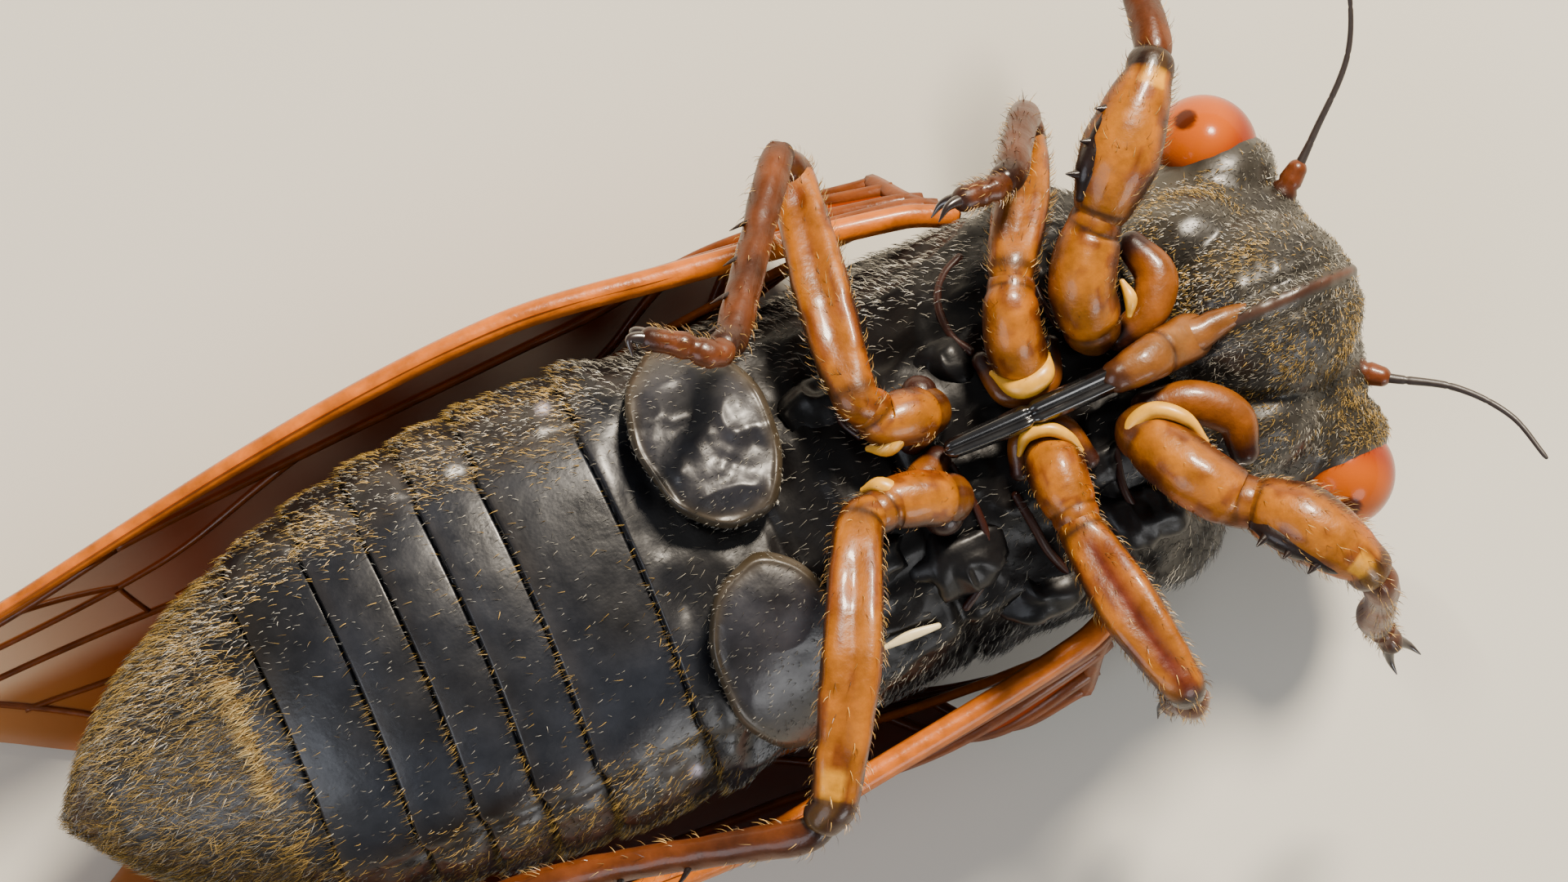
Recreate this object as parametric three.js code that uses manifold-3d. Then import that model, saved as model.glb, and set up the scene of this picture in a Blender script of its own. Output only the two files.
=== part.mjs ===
// Periodical cicada, adult male, life size, lying on its back with the wings folded under it.
// Millimetres. +X runs forward to the head, +Y to the animal's own right, +Z up to its belly.
// The origin is on the floor, in the middle of the small flat of the back that it rests on.
import * as THREE from "three";
import { mergeVertices } from "three/addons/utils/BufferGeometryUtils.js";
import Module from "manifold-3d";

// Driving sizes
const GAP = 0.3; // clearance between neighbouring pieces
const HEAD_REAR_X = 4.7;
const THORAX_FRONT_X = 4.4;
const PRONOTUM_REAR_X = 2.3;
const MESOTHORAX_REAR_X = -1.0;
const METATHORAX_REAR_X = -3.7;
const TAIL_X = -18.4;
const STERNITE_BORDERS_X = [-6.3, -8.4, -9.65, -10.85, -12.1, -13.7];
const STERNITE_STEP = 0.12; // how far each ring's rear edge stands over the next ring
const TRUNK_SIDES = 24;
const TRUNK_STEP = 1.1;
const TRUNK_SQUARENESS = 2.25; // 2 is an ellipse, more is boxier

const WING_APEX_X = -27;
const WING_ANGLE_X = -16.5; // where the wing's inner edge turns into its outer edge
const WING_THICKNESS = 0.5;
const WING_STRIP_WIDTH = 1.5; // the level strip along the inner edge, which lies on the floor
const WING_STRIP_SHARE = 0.82;
const VEIN_HEIGHT_OUTSIDE = 0.16;
const VEIN_HEIGHT_INSIDE = 0.08;
const VEIN_HALF_WIDTH = 0.028; // as a share of the wing's width
const FOREWING_VEINS = [0.14, 0.34, 0.53, 0.7, 0.87];
const HINDWING_VEINS = [0.3, 0.65];
const FOREWING_STEPS = 14;
const HINDWING_STEPS = 7;

const EYE_RADII = new THREE.Vector3(1.05, 1.05, 1.3);
const EYE_CENTRE = new THREE.Vector3(6.85, 3.42, 3.4);

const CLAW_LENGTH = 0.75;
const CLAW_RADIUS = 0.2;
const SPINE_SIDES = 5;
const SPINE_TIP_RADIUS = 0.05;
const THIN_LIMB_SIDES = 8;

// Small helpers
const wasm = await Module();
wasm.setup();

const v3 = (x, y, z) => new THREE.Vector3(x, y, z);

// A smooth line through a few [x, value] pairs, listed with x falling or rising.
function profile(pairs) {
  const sorted = [...pairs].sort((a, b) => a[0] - b[0]);
  const slope = (i) => {
    const before = sorted[Math.max(0, i - 1)];
    const after = sorted[Math.min(sorted.length - 1, i + 1)];
    return (after[1] - before[1]) / (after[0] - before[0]);
  };
  return (x) => {
    if (x <= sorted[0][0]) return sorted[0][1];
    if (x >= sorted.at(-1)[0]) return sorted.at(-1)[1];
    const i = sorted.findIndex((pair) => pair[0] > x) - 1;
    const width = sorted[i + 1][0] - sorted[i][0];
    const t = (x - sorted[i][0]) / width;
    const t2 = t * t;
    const t3 = t2 * t;
    return (
      (2 * t3 - 3 * t2 + 1) * sorted[i][1] +
      (t3 - 2 * t2 + t) * width * slope(i) +
      (3 * t2 - 2 * t3) * sorted[i + 1][1] +
      (t3 - t2) * width * slope(i + 1)
    );
  };
}

function solidFromTriangles(points, triangles) {
  const geometry = new THREE.BufferGeometry().setFromPoints(points);
  geometry.setIndex(triangles.flat());
  return solidFromGeometry(geometry);
}

function solidFromGeometry(geometry) {
  geometry.deleteAttribute("normal");
  geometry.deleteAttribute("uv");
  const merged = mergeVertices(geometry, 1e-4);
  return new wasm.Manifold(
    new wasm.Mesh({
      numProp: 3,
      vertProperties: new Float32Array(merged.attributes.position.array),
      triVerts: new Uint32Array(merged.index.array),
    }),
  );
}

// A closed skin over a row of rings with the same number of points, its ends closed by fans.
function loft(rings) {
  const count = rings[0].length;
  const points = rings.flat();
  const triangles = [];
  for (let i = 0; i + 1 < rings.length; i++) {
    for (let j = 0; j < count; j++) {
      const a = i * count + j;
      const b = i * count + ((j + 1) % count);
      triangles.push([a, b, b + count], [a, b + count, a + count]);
    }
  }
  const middle = (ring) => ring.reduce((sum, p) => sum.add(p), v3(0, 0, 0)).divideScalar(count);
  const last = (rings.length - 1) * count;
  const startPole = points.push(middle(rings[0])) - 1;
  const endPole = points.push(middle(rings.at(-1))) - 1;
  for (let j = 0; j < count; j++) {
    const next = (j + 1) % count;
    triangles.push([startPole, next, j], [endPole, last + j, last + next]);
  }
  const solid = solidFromTriangles(points, triangles);
  if (solid.volume() > 0) return solid;
  return solidFromTriangles(points, triangles.map(([a, b, c]) => [a, c, b]));
}

function largest(solid) {
  return solid.decompose().reduce((best, s) => (s.volume() > best.volume() ? s : best));
}

// A rounded limb along a smooth curve. Each knot is [x, y, z, half width, half height].
function limb(knots, { steps = 7, sides = 10, grow = 0 } = {}) {
  const curve = new THREE.CatmullRomCurve3(knots.map((k) => v3(k[0], k[1], k[2])), false, "centripetal");
  const sizeAt = (t, index) => {
    const place = Math.min(t * (knots.length - 1), knots.length - 1 - 1e-9);
    const i = Math.floor(place);
    return THREE.MathUtils.lerp(knots[i][index], knots[i + 1][index], place - i) + grow;
  };
  const run = v3(...knots.at(-1).slice(0, 3)).sub(v3(...knots[0].slice(0, 3))).normalize();
  const upward = Math.abs(run.z) > 0.85 ? v3(1, 0, 0) : v3(0, 0, 1);
  const ringAt = (t, shrink, shift) => {
    const tangent = curve.getTangent(t);
    const side = v3().crossVectors(upward, tangent).normalize();
    const up = v3().crossVectors(tangent, side);
    const centre = curve.getPoint(t).addScaledVector(tangent, shift);
    return Array.from({ length: sides }, (_, j) => {
      const angle = (2 * Math.PI * (j + 0.5)) / sides;
      return centre
        .clone()
        .addScaledVector(side, Math.cos(angle) * sizeAt(t, 3) * shrink)
        .addScaledVector(up, Math.sin(angle) * sizeAt(t, 4) * shrink);
    });
  };
  const dome = (t, direction) =>
    (sides > THIN_LIMB_SIDES ? [0.92, 0.6] : [0.72]).map((turn) => {
      const lift = Math.sqrt(1 - turn * turn);
      return ringAt(t, turn, direction * sizeAt(t, 3) * lift);
    });
  const rings = [...dome(0, -1).reverse()];
  for (let i = 0; i <= steps; i++) rings.push(ringAt(i / steps, 1, 0));
  rings.push(...dome(1, 1));
  return loft(rings);
}

// A tapered spine or claw that bends through a few points to a fine tip.
function spine(points, radius, grow = 0) {
  const places = points.map((p) => v3(...p));
  const rings = places.map((centre, i) => {
    const tangent = (places[i + 1] ?? centre).clone().sub(places[i - 1] ?? centre).normalize();
    const upward = Math.abs(tangent.z) > 0.85 ? v3(1, 0, 0) : v3(0, 0, 1);
    const side = v3().crossVectors(upward, tangent).normalize();
    const up = v3().crossVectors(tangent, side);
    const size = Math.max(radius * (1 - i / (places.length - 1)), SPINE_TIP_RADIUS) + grow;
    return Array.from({ length: SPINE_SIDES }, (_, j) => {
      const angle = (2 * Math.PI * j) / SPINE_SIDES;
      const across = side.clone().multiplyScalar(Math.cos(angle) * size);
      return centre.clone().add(across).addScaledVector(up, Math.sin(angle) * size);
    });
  });
  return loft(rings);
}

function ellipsoid(centre, radii, grow = 0, segments = 14) {
  const geometry = new THREE.SphereGeometry(1, segments, Math.round(segments * 0.6));
  geometry.scale(radii.x + grow, radii.y + grow, radii.z + grow);
  geometry.translate(centre.x, centre.y, centre.z);
  return solidFromGeometry(geometry);
}

// The trunk: thorax and abdomen are slices of one long body
const trunkHalfWidth = profile([
  [4.4, 3.55], [3.4, 4.05], [2.0, 4.0], [0, 3.95], [-3.7, 4.1], [-6.3, 4.35], [-9.65, 4.3],
  [-12.1, 3.95], [-13.7, 3.5], [-15, 2.95], [-16.3, 2.25], [-17.3, 1.5], [TAIL_X, 0.55],
]);
const trunkBack = profile([
  [4.4, 1.1], [3.4, 0.65], [2.3, 0.35], [1.7, -0.3], [-0.6, -0.45], [-1.6, 0.15], [-3.7, 1.35], [-6.3, 1.8],
  [-10.85, 1.9], [-13.7, 2.3], [-15.5, 2.75], [-17.3, 3.4], [TAIL_X, 4.1],
]);
const trunkBelly = profile([
  [4.4, 6.5], [3.4, 7.0], [0, 7.3], [-3.7, 7.6], [-6.3, 8.0], [-9.65, 8.05], [-12.1, 7.75],
  [-13.7, 7.35], [-15.5, 6.8], [-17.3, 6.0], [TAIL_X, 5.2],
]);

// Each abdominal ring swells towards its rear edge, then drops to the next ring.
function sterniteSwell(x) {
  const borders = [METATHORAX_REAR_X, ...STERNITE_BORDERS_X];
  for (let i = 0; i + 1 < borders.length; i++) {
    if (x <= borders[i] && x > borders[i + 1]) {
      return STERNITE_STEP * ((borders[i] - x) / (borders[i] - borders[i + 1]) - 0.5);
    }
  }
  return 0;
}

function trunkRing(x, grow) {
  const swell = sterniteSwell(x) + grow;
  const halfWidth = trunkHalfWidth(x) + swell;
  const low = trunkBack(x) - swell;
  const high = trunkBelly(x) + swell;
  const power = 2 / TRUNK_SQUARENESS;
  return Array.from({ length: TRUNK_SIDES }, (_, j) => {
    const angle = (2 * Math.PI * (j + 0.5)) / TRUNK_SIDES;
    const y = Math.sign(Math.cos(angle)) * Math.abs(Math.cos(angle)) ** power * halfWidth;
    const upward = Math.sign(Math.sin(angle)) * Math.abs(Math.sin(angle)) ** power;
    const z = (low + high) / 2 + (upward * (high - low)) / 2;
    return v3(x, y, Math.max(z, 0));
  });
}

// A slice of the trunk from one station to another.
function trunkSlice(frontX, rearX, grow = 0) {
  const stations = [];
  const steps = Math.max(2, Math.round((frontX - rearX) / TRUNK_STEP));
  for (let i = 0; i <= steps; i++) stations.push(THREE.MathUtils.lerp(frontX, rearX, i / steps));
  for (const border of STERNITE_BORDERS_X) {
    if (border < frontX - 0.1 && border > rearX + 0.1) stations.push(border + 0.02, border - 0.06);
  }
  stations.sort((a, b) => b - a);
  const spaced = stations.filter((x, i) => i === 0 || stations[i - 1] - x > 0.05);
  const rings = spaced.map((x) => trunkRing(x, grow));
  if (grow > 0) {
    rings.unshift(trunkRing(frontX, grow).map((p) => p.setX(frontX + grow)));
    rings.push(trunkRing(rearX, grow).map((p) => p.setX(rearX - grow)));
  }
  return loft(rings);
}

// Head, its swollen face, eyes, feelers and beak
const headHalfWidth = profile([
  [HEAD_REAR_X, 3.3], [5.6, 3.5], [6.6, 3.5], [7.4, 3.0], [8.0, 2.05], [8.4, 0.8],
]);
const headBack = profile([
  [HEAD_REAR_X, 1.35], [5.6, 1.15], [6.6, 1.35], [7.4, 1.75], [8.0, 2.3], [8.4, 3.0],
]);
const headFace = profile([[HEAD_REAR_X, 6.3], [5.6, 6.2], [6.6, 5.8], [7.4, 5.3], [8.0, 4.7], [8.4, 4.0]]);

const HEAD_FRONT_X = 8.4;
const HEAD_STEPS = 8;

function headShape(grow = 0) {
  const rings = [];
  for (let i = 0; i <= HEAD_STEPS; i++) {
    // Rings stand closer together at the front, where the head rounds off.
    const x = THREE.MathUtils.lerp(HEAD_FRONT_X, HEAD_REAR_X, (i / HEAD_STEPS) ** 1.4);
    const middle = (headBack(x) + headFace(x)) / 2;
    const halfHeight = (headFace(x) - headBack(x)) / 2 + grow;
    rings.push(
      Array.from({ length: TRUNK_SIDES }, (_, j) => {
        const angle = (2 * Math.PI * (j + 0.5)) / TRUNK_SIDES;
        const y = Math.cos(angle) * (headHalfWidth(x) + grow);
        return v3(x, y, middle + Math.sin(angle) * halfHeight);
      }),
    );
  }
  if (grow > 0) {
    rings.unshift(rings[0].map((p) => p.clone().setX(HEAD_FRONT_X + grow)));
    rings.push(rings.at(-1).map((p) => p.clone().setX(HEAD_REAR_X - grow)));
  }
  return loft(rings);
}

// The swollen face between the eyes, with a low keel along its middle.
const FACE = {
  radii: v3(2.15, 1.95, 2.05),
  centre: v3(6.45, 0.1, 5.15),
  tilt: 0.12,
  keelHeight: 0.06,
  keelWidth: 0.12,
};

function faceShape(grow = 0) {
  const { radii, centre, tilt, keelHeight, keelWidth } = FACE;
  const geometry = new THREE.SphereGeometry(1, 20, 12);
  const place = geometry.attributes.position;
  for (let i = 0; i < place.count; i++) {
    const y = place.getY(i);
    const z = place.getZ(i);
    const keel = z > 0 ? keelHeight * Math.exp(-((y / keelWidth) ** 2)) : 0;
    place.setZ(i, z + keel);
  }
  geometry.rotateY(tilt);
  geometry.scale(radii.x + grow, radii.y + grow, radii.z + grow);
  geometry.translate(centre.x, centre.y, centre.z);
  return solidFromGeometry(geometry);
}

function eyeShape(side, grow = 0) {
  return ellipsoid(v3(EYE_CENTRE.x, side * EYE_CENTRE.y, EYE_CENTRE.z), EYE_RADII, grow);
}

const FEELER_KNOTS = {
  right: [
    [7.75, 1.95, 3.9], [8.3, 2.3, 4.0], [8.9, 2.85, 4.1], [10.0, 3.9, 4.3], [10.5, 4.9, 4.5], [10.6, 5.7, 4.7],
  ],
  left: [[7.75, -1.6, 3.9], [8.25, -1.98, 4.0], [9.5, -2.75, 4.1], [10.25, -3.65, 4.3], [10.55, -4.65, 4.5]],
};
const FEELER_ROOT_RADIUS = 0.38;
const FEELER_RADIUS = 0.25;

function feelerShape(which, grow = 0) {
  const knots = FEELER_KNOTS[which].map((p, i, all) => {
    const radius = i < 2 ? FEELER_ROOT_RADIUS : i === all.length - 1 ? 0.12 : FEELER_RADIUS;
    return [...p, radius, radius];
  });
  return limb(knots, { steps: 10, sides: 7, grow });
}

// The beak lies along the midline between the legs, its base the small plate below the face.
function beakShape(grow = 0) {
  const knots = [
    [4.9, 0.22, 7.0, 0.5, 0.42], [4.1, 0.08, 7.6, 0.42, 0.38], [3.3, 0.04, 7.85, 0.28, 0.28],
    [1.5, 0.0, 7.85, 0.26, 0.26], [0.1, 0.0, 7.85, 0.25, 0.25],
  ];
  return limb(knots, { steps: 7, sides: 8, grow });
}

// Legs. Each row of knots is [x, y, z, half width, half height] from the body outwards.
const LEGS = {
  front_left: {
    coxa: [[3.5, -1.15, 7.5, 0.58, 0.58], [4.02, -2.2, 8.05, 0.62, 0.6], [4.6, -3.0, 8.0, 0.55, 0.55]],
    femur: [[5.0, -3.3, 8.1, 0.55, 0.55], [5.65, -3.95, 8.35, 0.7, 0.66], [6.3, -4.95, 8.3, 0.5, 0.5]],
    tibia: [[6.5, -5.45, 8.0, 0.36, 0.36], [6.4, -5.9, 6.8, 0.32, 0.32], [6.25, -6.15, 5.5, 0.38, 0.38]],
    tarsus: [[6.28, -6.35, 4.9, 0.28, 0.28], [6.4, -6.75, 4.5, 0.25, 0.25]],
    clawTurn: [0.15, -0.5, -0.25],
  },
  front_right: {
    coxa: [[3.38, 1.1, 7.5, 0.58, 0.58], [3.49, 1.9, 8.15, 0.62, 0.6], [4.0, 2.7, 8.2, 0.55, 0.55]],
    femur: [[4.4, 3.1, 8.3, 0.55, 0.55], [5.1, 3.89, 8.6, 0.74, 0.68], [6.15, 5.0, 8.4, 0.5, 0.5]],
    tibia: [[6.5, 5.5, 8.15, 0.36, 0.36], [6.7, 6.9, 7.2, 0.3, 0.3], [6.8, 8.3, 6.0, 0.36, 0.36]],
    tarsus: [[6.88, 8.95, 5.6, 0.28, 0.28], [6.98, 9.75, 5.4, 0.25, 0.25]],
    clawTurn: [0.1, 0.55, -0.2],
  },
  middle_left: {
    coxa: [[1.69, -0.85, 7.5, 0.52, 0.5], [1.66, -1.2, 7.85, 0.55, 0.52], [1.66, -1.8, 7.95, 0.5, 0.5]],
    femur: [[1.68, -2.45, 8.1, 0.46, 0.46], [1.91, -4.0, 8.7, 0.6, 0.55], [2.26, -5.7, 8.9, 0.45, 0.45]],
    tibia: [[2.32, -6.15, 8.25, 0.34, 0.34], [2.3, -6.2, 6.6, 0.3, 0.3], [2.2, -6.1, 5.0, 0.34, 0.34]],
    tarsus: [[2.15, -6.1, 4.3, 0.27, 0.27], [2.1, -6.25, 3.3, 0.25, 0.25]],
    clawTurn: [-0.1, -0.35, -0.45],
  },
  middle_right: {
    coxa: [[1.86, 0.85, 7.5, 0.52, 0.5], [1.92, 1.54, 8.05, 0.55, 0.52], [2.1, 2.1, 8.15, 0.5, 0.5]],
    femur: [[2.4, 2.75, 7.9, 0.46, 0.46], [3.1, 3.85, 7.0, 0.55, 0.52], [3.65, 4.9, 5.95, 0.42, 0.42]],
    tibia: [[3.8, 5.3, 6.3, 0.32, 0.32], [3.45, 4.9, 7.6, 0.3, 0.3], [3.05, 4.35, 8.8, 0.34, 0.34]],
    tarsus: [[2.65, 4.2, 9.25, 0.27, 0.27], [2.05, 4.25, 9.35, 0.25, 0.25]],
    clawTurn: [-0.5, -0.3, 0.0],
  },
  hind_left: {
    coxa: [[-0.4, -0.85, 7.55, 0.5, 0.5], [-0.95, -0.62, 7.95, 0.52, 0.5], [-1.45, -0.5, 8.15, 0.48, 0.48]],
    femur: [
      [-2.1, -0.6, 8.6, 0.45, 0.45], [-2.45, -1.15, 9.2, 0.5, 0.5], [-3.3, -2.9, 10.0, 0.58, 0.55],
      [-4.65, -5.25, 10.0, 0.45, 0.45],
    ],
    tibia: [
      [-5.25, -5.6, 9.75, 0.34, 0.34], [-6.9, -5.25, 9.1, 0.3, 0.3], [-9.2, -4.75, 8.3, 0.3, 0.3],
      [-11.6, -4.5, 7.5, 0.36, 0.36],
    ],
    tarsus: [[-12.25, -4.48, 7.35, 0.28, 0.28], [-13.7, -4.4, 7.0, 0.25, 0.25]],
    clawTurn: [-0.5, -0.1, -0.2],
  },
  hind_right: {
    coxa: [[-0.15, 0.85, 7.55, 0.5, 0.5], [-0.57, 0.9, 7.95, 0.52, 0.5], [-0.98, 0.98, 8.1, 0.48, 0.48]],
    femur: [[-1.3, 1.65, 8.4, 0.45, 0.45], [-1.1, 3.6, 7.75, 0.55, 0.52], [-0.75, 6.0, 6.4, 0.44, 0.44]],
    tibia: [[-0.85, 6.4, 7.0, 0.32, 0.32], [-2.0, 4.9, 8.6, 0.3, 0.3], [-3.0, 3.55, 10.0, 0.34, 0.34]],
    tarsus: [[-3.4, 3.35, 10.6, 0.28, 0.28], [-3.88, 3.75, 10.75, 0.26, 0.26], [-4.4, 4.1, 10.7, 0.25, 0.25]],
    clawTurn: [-0.1, -0.5, -0.15],
  },
};

function legPiece(leg, piece, grow = 0) {
  const knots = LEGS[leg][piece];
  const thick = piece === "coxa" || piece === "femur";
  let solid = limb(knots, { steps: thick ? 5 : 4, sides: thick ? 10 : 8, grow });
  if (piece === "tarsus") solid = solid.add(clawPair(leg, grow));
  const row = SPINES[leg]?.[piece];
  if (row) solid = row.places.reduce((sum, place, i) => sum.add(legSpine(knots, row, place, i, grow)), solid);
  return solid;
}

// The teeth under the digging front femora, and the spurs of the long hind tibiae.
const FEMUR_TEETH = { places: [0.3, 0.55, 0.8], length: 0.55, radius: 0.26 };
const TIBIA_SPURS = { places: [0.35, 0.55, 0.75, 0.92], length: 0.55, radius: 0.16 };
const SPINES = {
  front_left: { femur: { ...FEMUR_TEETH, lean: [-0.9, -0.15, 0.45] } },
  front_right: { femur: { ...FEMUR_TEETH, lean: [-0.9, 0.2, 0.45] } },
  hind_left: { tibia: { ...TIBIA_SPURS, lean: [-0.75, -0.65, 0.2] } },
  hind_right: { tibia: { ...TIBIA_SPURS, lean: [-0.75, 0.1, 0.65] } },
};

// One spine with its root sunk in the limb; every other one is a little shorter, as on the real leg.
function legSpine(knots, { length, radius, lean }, place, index, grow) {
  const curve = new THREE.CatmullRomCurve3(knots.map((k) => v3(k[0], k[1], k[2])), false, "centripetal");
  const halfWidth = THREE.MathUtils.lerp(knots[0][3], knots.at(-1)[3], place);
  const direction = v3(...lean).normalize();
  const root = curve.getPoint(place).addScaledVector(direction, 0.3 * halfWidth);
  const reach = 0.7 * halfWidth + length * (index % 2 ? 0.85 : 1);
  const middle = root.clone().addScaledVector(direction, reach * 0.55);
  const sweep = curve.getTangent(place).multiplyScalar(0.2 * length);
  const tip = root.clone().addScaledVector(direction, reach).add(sweep);
  return spine([root.toArray(), middle.toArray(), tip.toArray()], radius, grow);
}

// Two hooked claws that spread from the tip of the foot.
function clawPair(leg, grow) {
  const knots = LEGS[leg].tarsus;
  const tip = v3(...knots.at(-1).slice(0, 3));
  const before = v3(...knots.at(-2).slice(0, 3));
  const ahead = tip.clone().sub(before).normalize();
  const turn = v3(...LEGS[leg].clawTurn);
  const across = v3().crossVectors(ahead, turn).normalize();
  const claws = [-1, 1].map((side) => {
    const root = tip.clone().addScaledVector(ahead, -0.05);
    const middle = tip.clone().addScaledVector(ahead, CLAW_LENGTH * 0.5).addScaledVector(across, side * 0.22);
    const end = middle.clone().add(turn.clone().multiplyScalar(0.6)).addScaledVector(across, side * 0.08);
    return spine([root.toArray(), middle.toArray(), end.toArray()], CLAW_RADIUS, grow);
  });
  return claws[0].add(claws[1]);
}

// Wings: curved roofs folded along both sides of the abdomen
const costaY = profile([
  [2.0, 3.95], [0.9, 4.4], [-3.9, 5.1], [-7, 5.45],
  [-11.5, 5.15], [-17.8, 4.2], [-23, 3.4], [WING_APEX_X, 2.6],
]);
const costaZ = profile([
  [2.0, 3.9], [0.9, 4.3], [-3.9, 5.3], [-7, 5.8], [-11.5, 5.9], [-17.8, 5.2], [-23, 4.2], [WING_APEX_X, 3.2],
]);
const innerY = profile([
  [0.6, 3.2], [-2, 2.4], [-4, 1.6], [-6, 0.85], [-9, 0.45], [WING_ANGLE_X, 0.35], [WING_APEX_X, 0.35],
]);
const ROOF_BULGE = new THREE.Vector2(0.55, -2.3); // from the front edge to its Bezier handle
const ROOF_REACH = 2.0; // from the level strip outwards to its Bezier handle

// The middle of the wing at station x, at share s of the way from the front edge to the back line.
function roofPoint(x, s) {
  const level = WING_THICKNESS / 2;
  const stripY = innerY(x) + WING_STRIP_WIDTH;
  if (s >= WING_STRIP_SHARE) {
    return v3(x, THREE.MathUtils.mapLinear(s, WING_STRIP_SHARE, 1, stripY, innerY(x)), level);
  }
  const start = new THREE.Vector2(costaY(x), costaZ(x));
  const curve = new THREE.CubicBezierCurve(
    start,
    start.clone().add(ROOF_BULGE),
    new THREE.Vector2(stripY + ROOF_REACH, level),
    new THREE.Vector2(stripY, level),
  );
  const p = curve.getPoint(s / WING_STRIP_SHARE);
  return v3(x, p.x, p.y);
}

function roofNormal(x, s) {
  const d = 0.02;
  const along = roofPoint(x + d, s).sub(roofPoint(x - d, s));
  const low = Math.max(0, s - d);
  const across = roofPoint(x, Math.min(1, s + d)).sub(roofPoint(x, low));
  return v3().crossVectors(along, across).normalize();
}

// A patch with four edges, as [x, s] places on the roof: root, front, inner and outer.
function patchPlace({ root, front, inner, outer }, a, b) {
  const corners = [root(0), root(1), outer(0), outer(1)];
  return [0, 1].map(
    (i) =>
      (1 - b) * front(a)[i] + b * inner(a)[i] + (1 - a) * root(b)[i] + a * outer(b)[i] -
      (1 - a) * (1 - b) * corners[0][i] - (1 - a) * b * corners[1][i] -
      a * (1 - b) * corners[2][i] - a * b * corners[3][i],
  );
}

const mix = THREE.MathUtils.lerp;
const FOREWING = {
  root: (b) => [mix(1.9, 0.6, b), 0.32 * b],
  front: (a) => [mix(1.9, WING_APEX_X, a), 0],
  inner: (a) => {
    const x = mix(0.6, WING_ANGLE_X, a);
    return [x, mix(0.32, 1, THREE.MathUtils.smoothstep(0.6 - x, 0, 4.6))];
  },
  outer: (b) => [WING_APEX_X + (WING_ANGLE_X - WING_APEX_X) * b ** 1.5, b],
};
const HINDWING = {
  root: (b) => [mix(0.2, -1.2, b), mix(0.34, 0.58, b)],
  front: (a) => [mix(0.2, -15, a), mix(0.34, 0.45, a)],
  inner: (a) => [mix(-1.2, -10.5, a), mix(0.58, 0.97, Math.min(1, a * 1.6))],
  outer: (b) => [mix(-15, -10.5, b ** 1.5), mix(0.45, 0.97, b)],
};

// The lines across the wing: three for each vein, so that its ridge stands up between two of them.
function veinLines(veins, rimVein) {
  const lines = [{ b: 0, raised: rimVein }, { b: 1, raised: 0 }];
  for (const b of veins) {
    lines.push({ b: b - VEIN_HALF_WIDTH, raised: 0 });
    lines.push({ b, raised: 1 });
    lines.push({ b: b + VEIN_HALF_WIDTH, raised: 0 });
  }
  if (rimVein) lines.push({ b: 0.05, raised: 0 });
  return lines.sort((p, q) => p.b - q.b);
}

function wingSolid(side, patch, { veins, steps, inset, rimVein, outsideRidge, insideRidge }, grow = 0) {
  const lines = veinLines(veins, rimVein);
  const faces = [[], []];
  for (let i = 0; i <= steps; i++) {
    for (const { b, raised } of lines) {
      const [x, s] = patchPlace(patch, i / steps, b);
      const middle = roofPoint(x, s);
      const outward = roofNormal(x, s);
      const onFloor = s >= WING_STRIP_SHARE - 0.06 ? 0 : 1;
      const half = WING_THICKNESS / 2 + grow;
      const out = half + raised * outsideRidge * onFloor - inset;
      const back = half + raised * insideRidge + inset;
      const lowest = -grow;
      const outer = middle.clone().addScaledVector(outward, out);
      faces[0].push(outer.setZ(Math.max(outer.z, lowest)));
      faces[1].push(middle.clone().addScaledVector(outward, -back));
    }
  }
  return vane(faces, lines.length, side);
}

// Closes two like grids of points, both split into triangles in the same way, and mirrors them to one side.
function vane([outer, inner], columns, side) {
  const rows = outer.length / columns;
  const points = [...outer, ...inner].map((p) => v3(p.x, side * p.y, p.z));
  const shift = outer.length;
  const triangles = [];
  const quad = (a, b, c, d) => triangles.push([a, b, c], [a, c, d]);
  for (let i = 0; i + 1 < rows; i++) {
    for (let j = 0; j + 1 < columns; j++) {
      const a = i * columns + j;
      triangles.push([a, a + 1, a + columns + 1], [a, a + columns + 1, a + columns]);
      triangles.push([a + shift, a + shift + columns + 1, a + shift + 1]);
      triangles.push([a + shift, a + shift + columns, a + shift + columns + 1]);
    }
  }
  for (let i = 0; i + 1 < rows; i++) {
    const front = i * columns;
    const back = i * columns + columns - 1;
    quad(front, front + columns, front + columns + shift, front + shift);
    quad(back, back + shift, back + columns + shift, back + columns);
  }
  for (let j = 0; j + 1 < columns; j++) {
    const far = (rows - 1) * columns + j;
    quad(j, j + shift, j + 1 + shift, j + 1);
    quad(far, far + 1, far + 1 + shift, far + shift);
  }
  const solid = solidFromTriangles(points, triangles);
  if (solid.volume() > 0) return solid;
  return solidFromTriangles(points, triangles.map(([a, b, c]) => [a, c, b]));
}

const FOREWING_BUILD = {
  veins: FOREWING_VEINS, steps: FOREWING_STEPS, inset: 0, rimVein: 1,
  outsideRidge: VEIN_HEIGHT_OUTSIDE, insideRidge: VEIN_HEIGHT_INSIDE,
};
const HINDWING_BUILD = {
  veins: HINDWING_VEINS, steps: HINDWING_STEPS, inset: WING_THICKNESS + VEIN_HEIGHT_INSIDE + GAP, rimVein: 0,
  outsideRidge: 0, insideRidge: 0.1,
};

// The opercula: two rounded plates over the hearing organs, bent to the belly under the hind legs
const OPERCULUM = { thickness: 0.62, halfLength: 1.35, halfWidth: 1.95 };
const OPERCULUM_PLACES = { left: [-4.45, -2.3, -0.12], right: [-4.2, 2.1, 0.12] };
const CUTTER_LOW_Z = 4.6;
const CUTTER_HEIGHT = 6;

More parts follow.
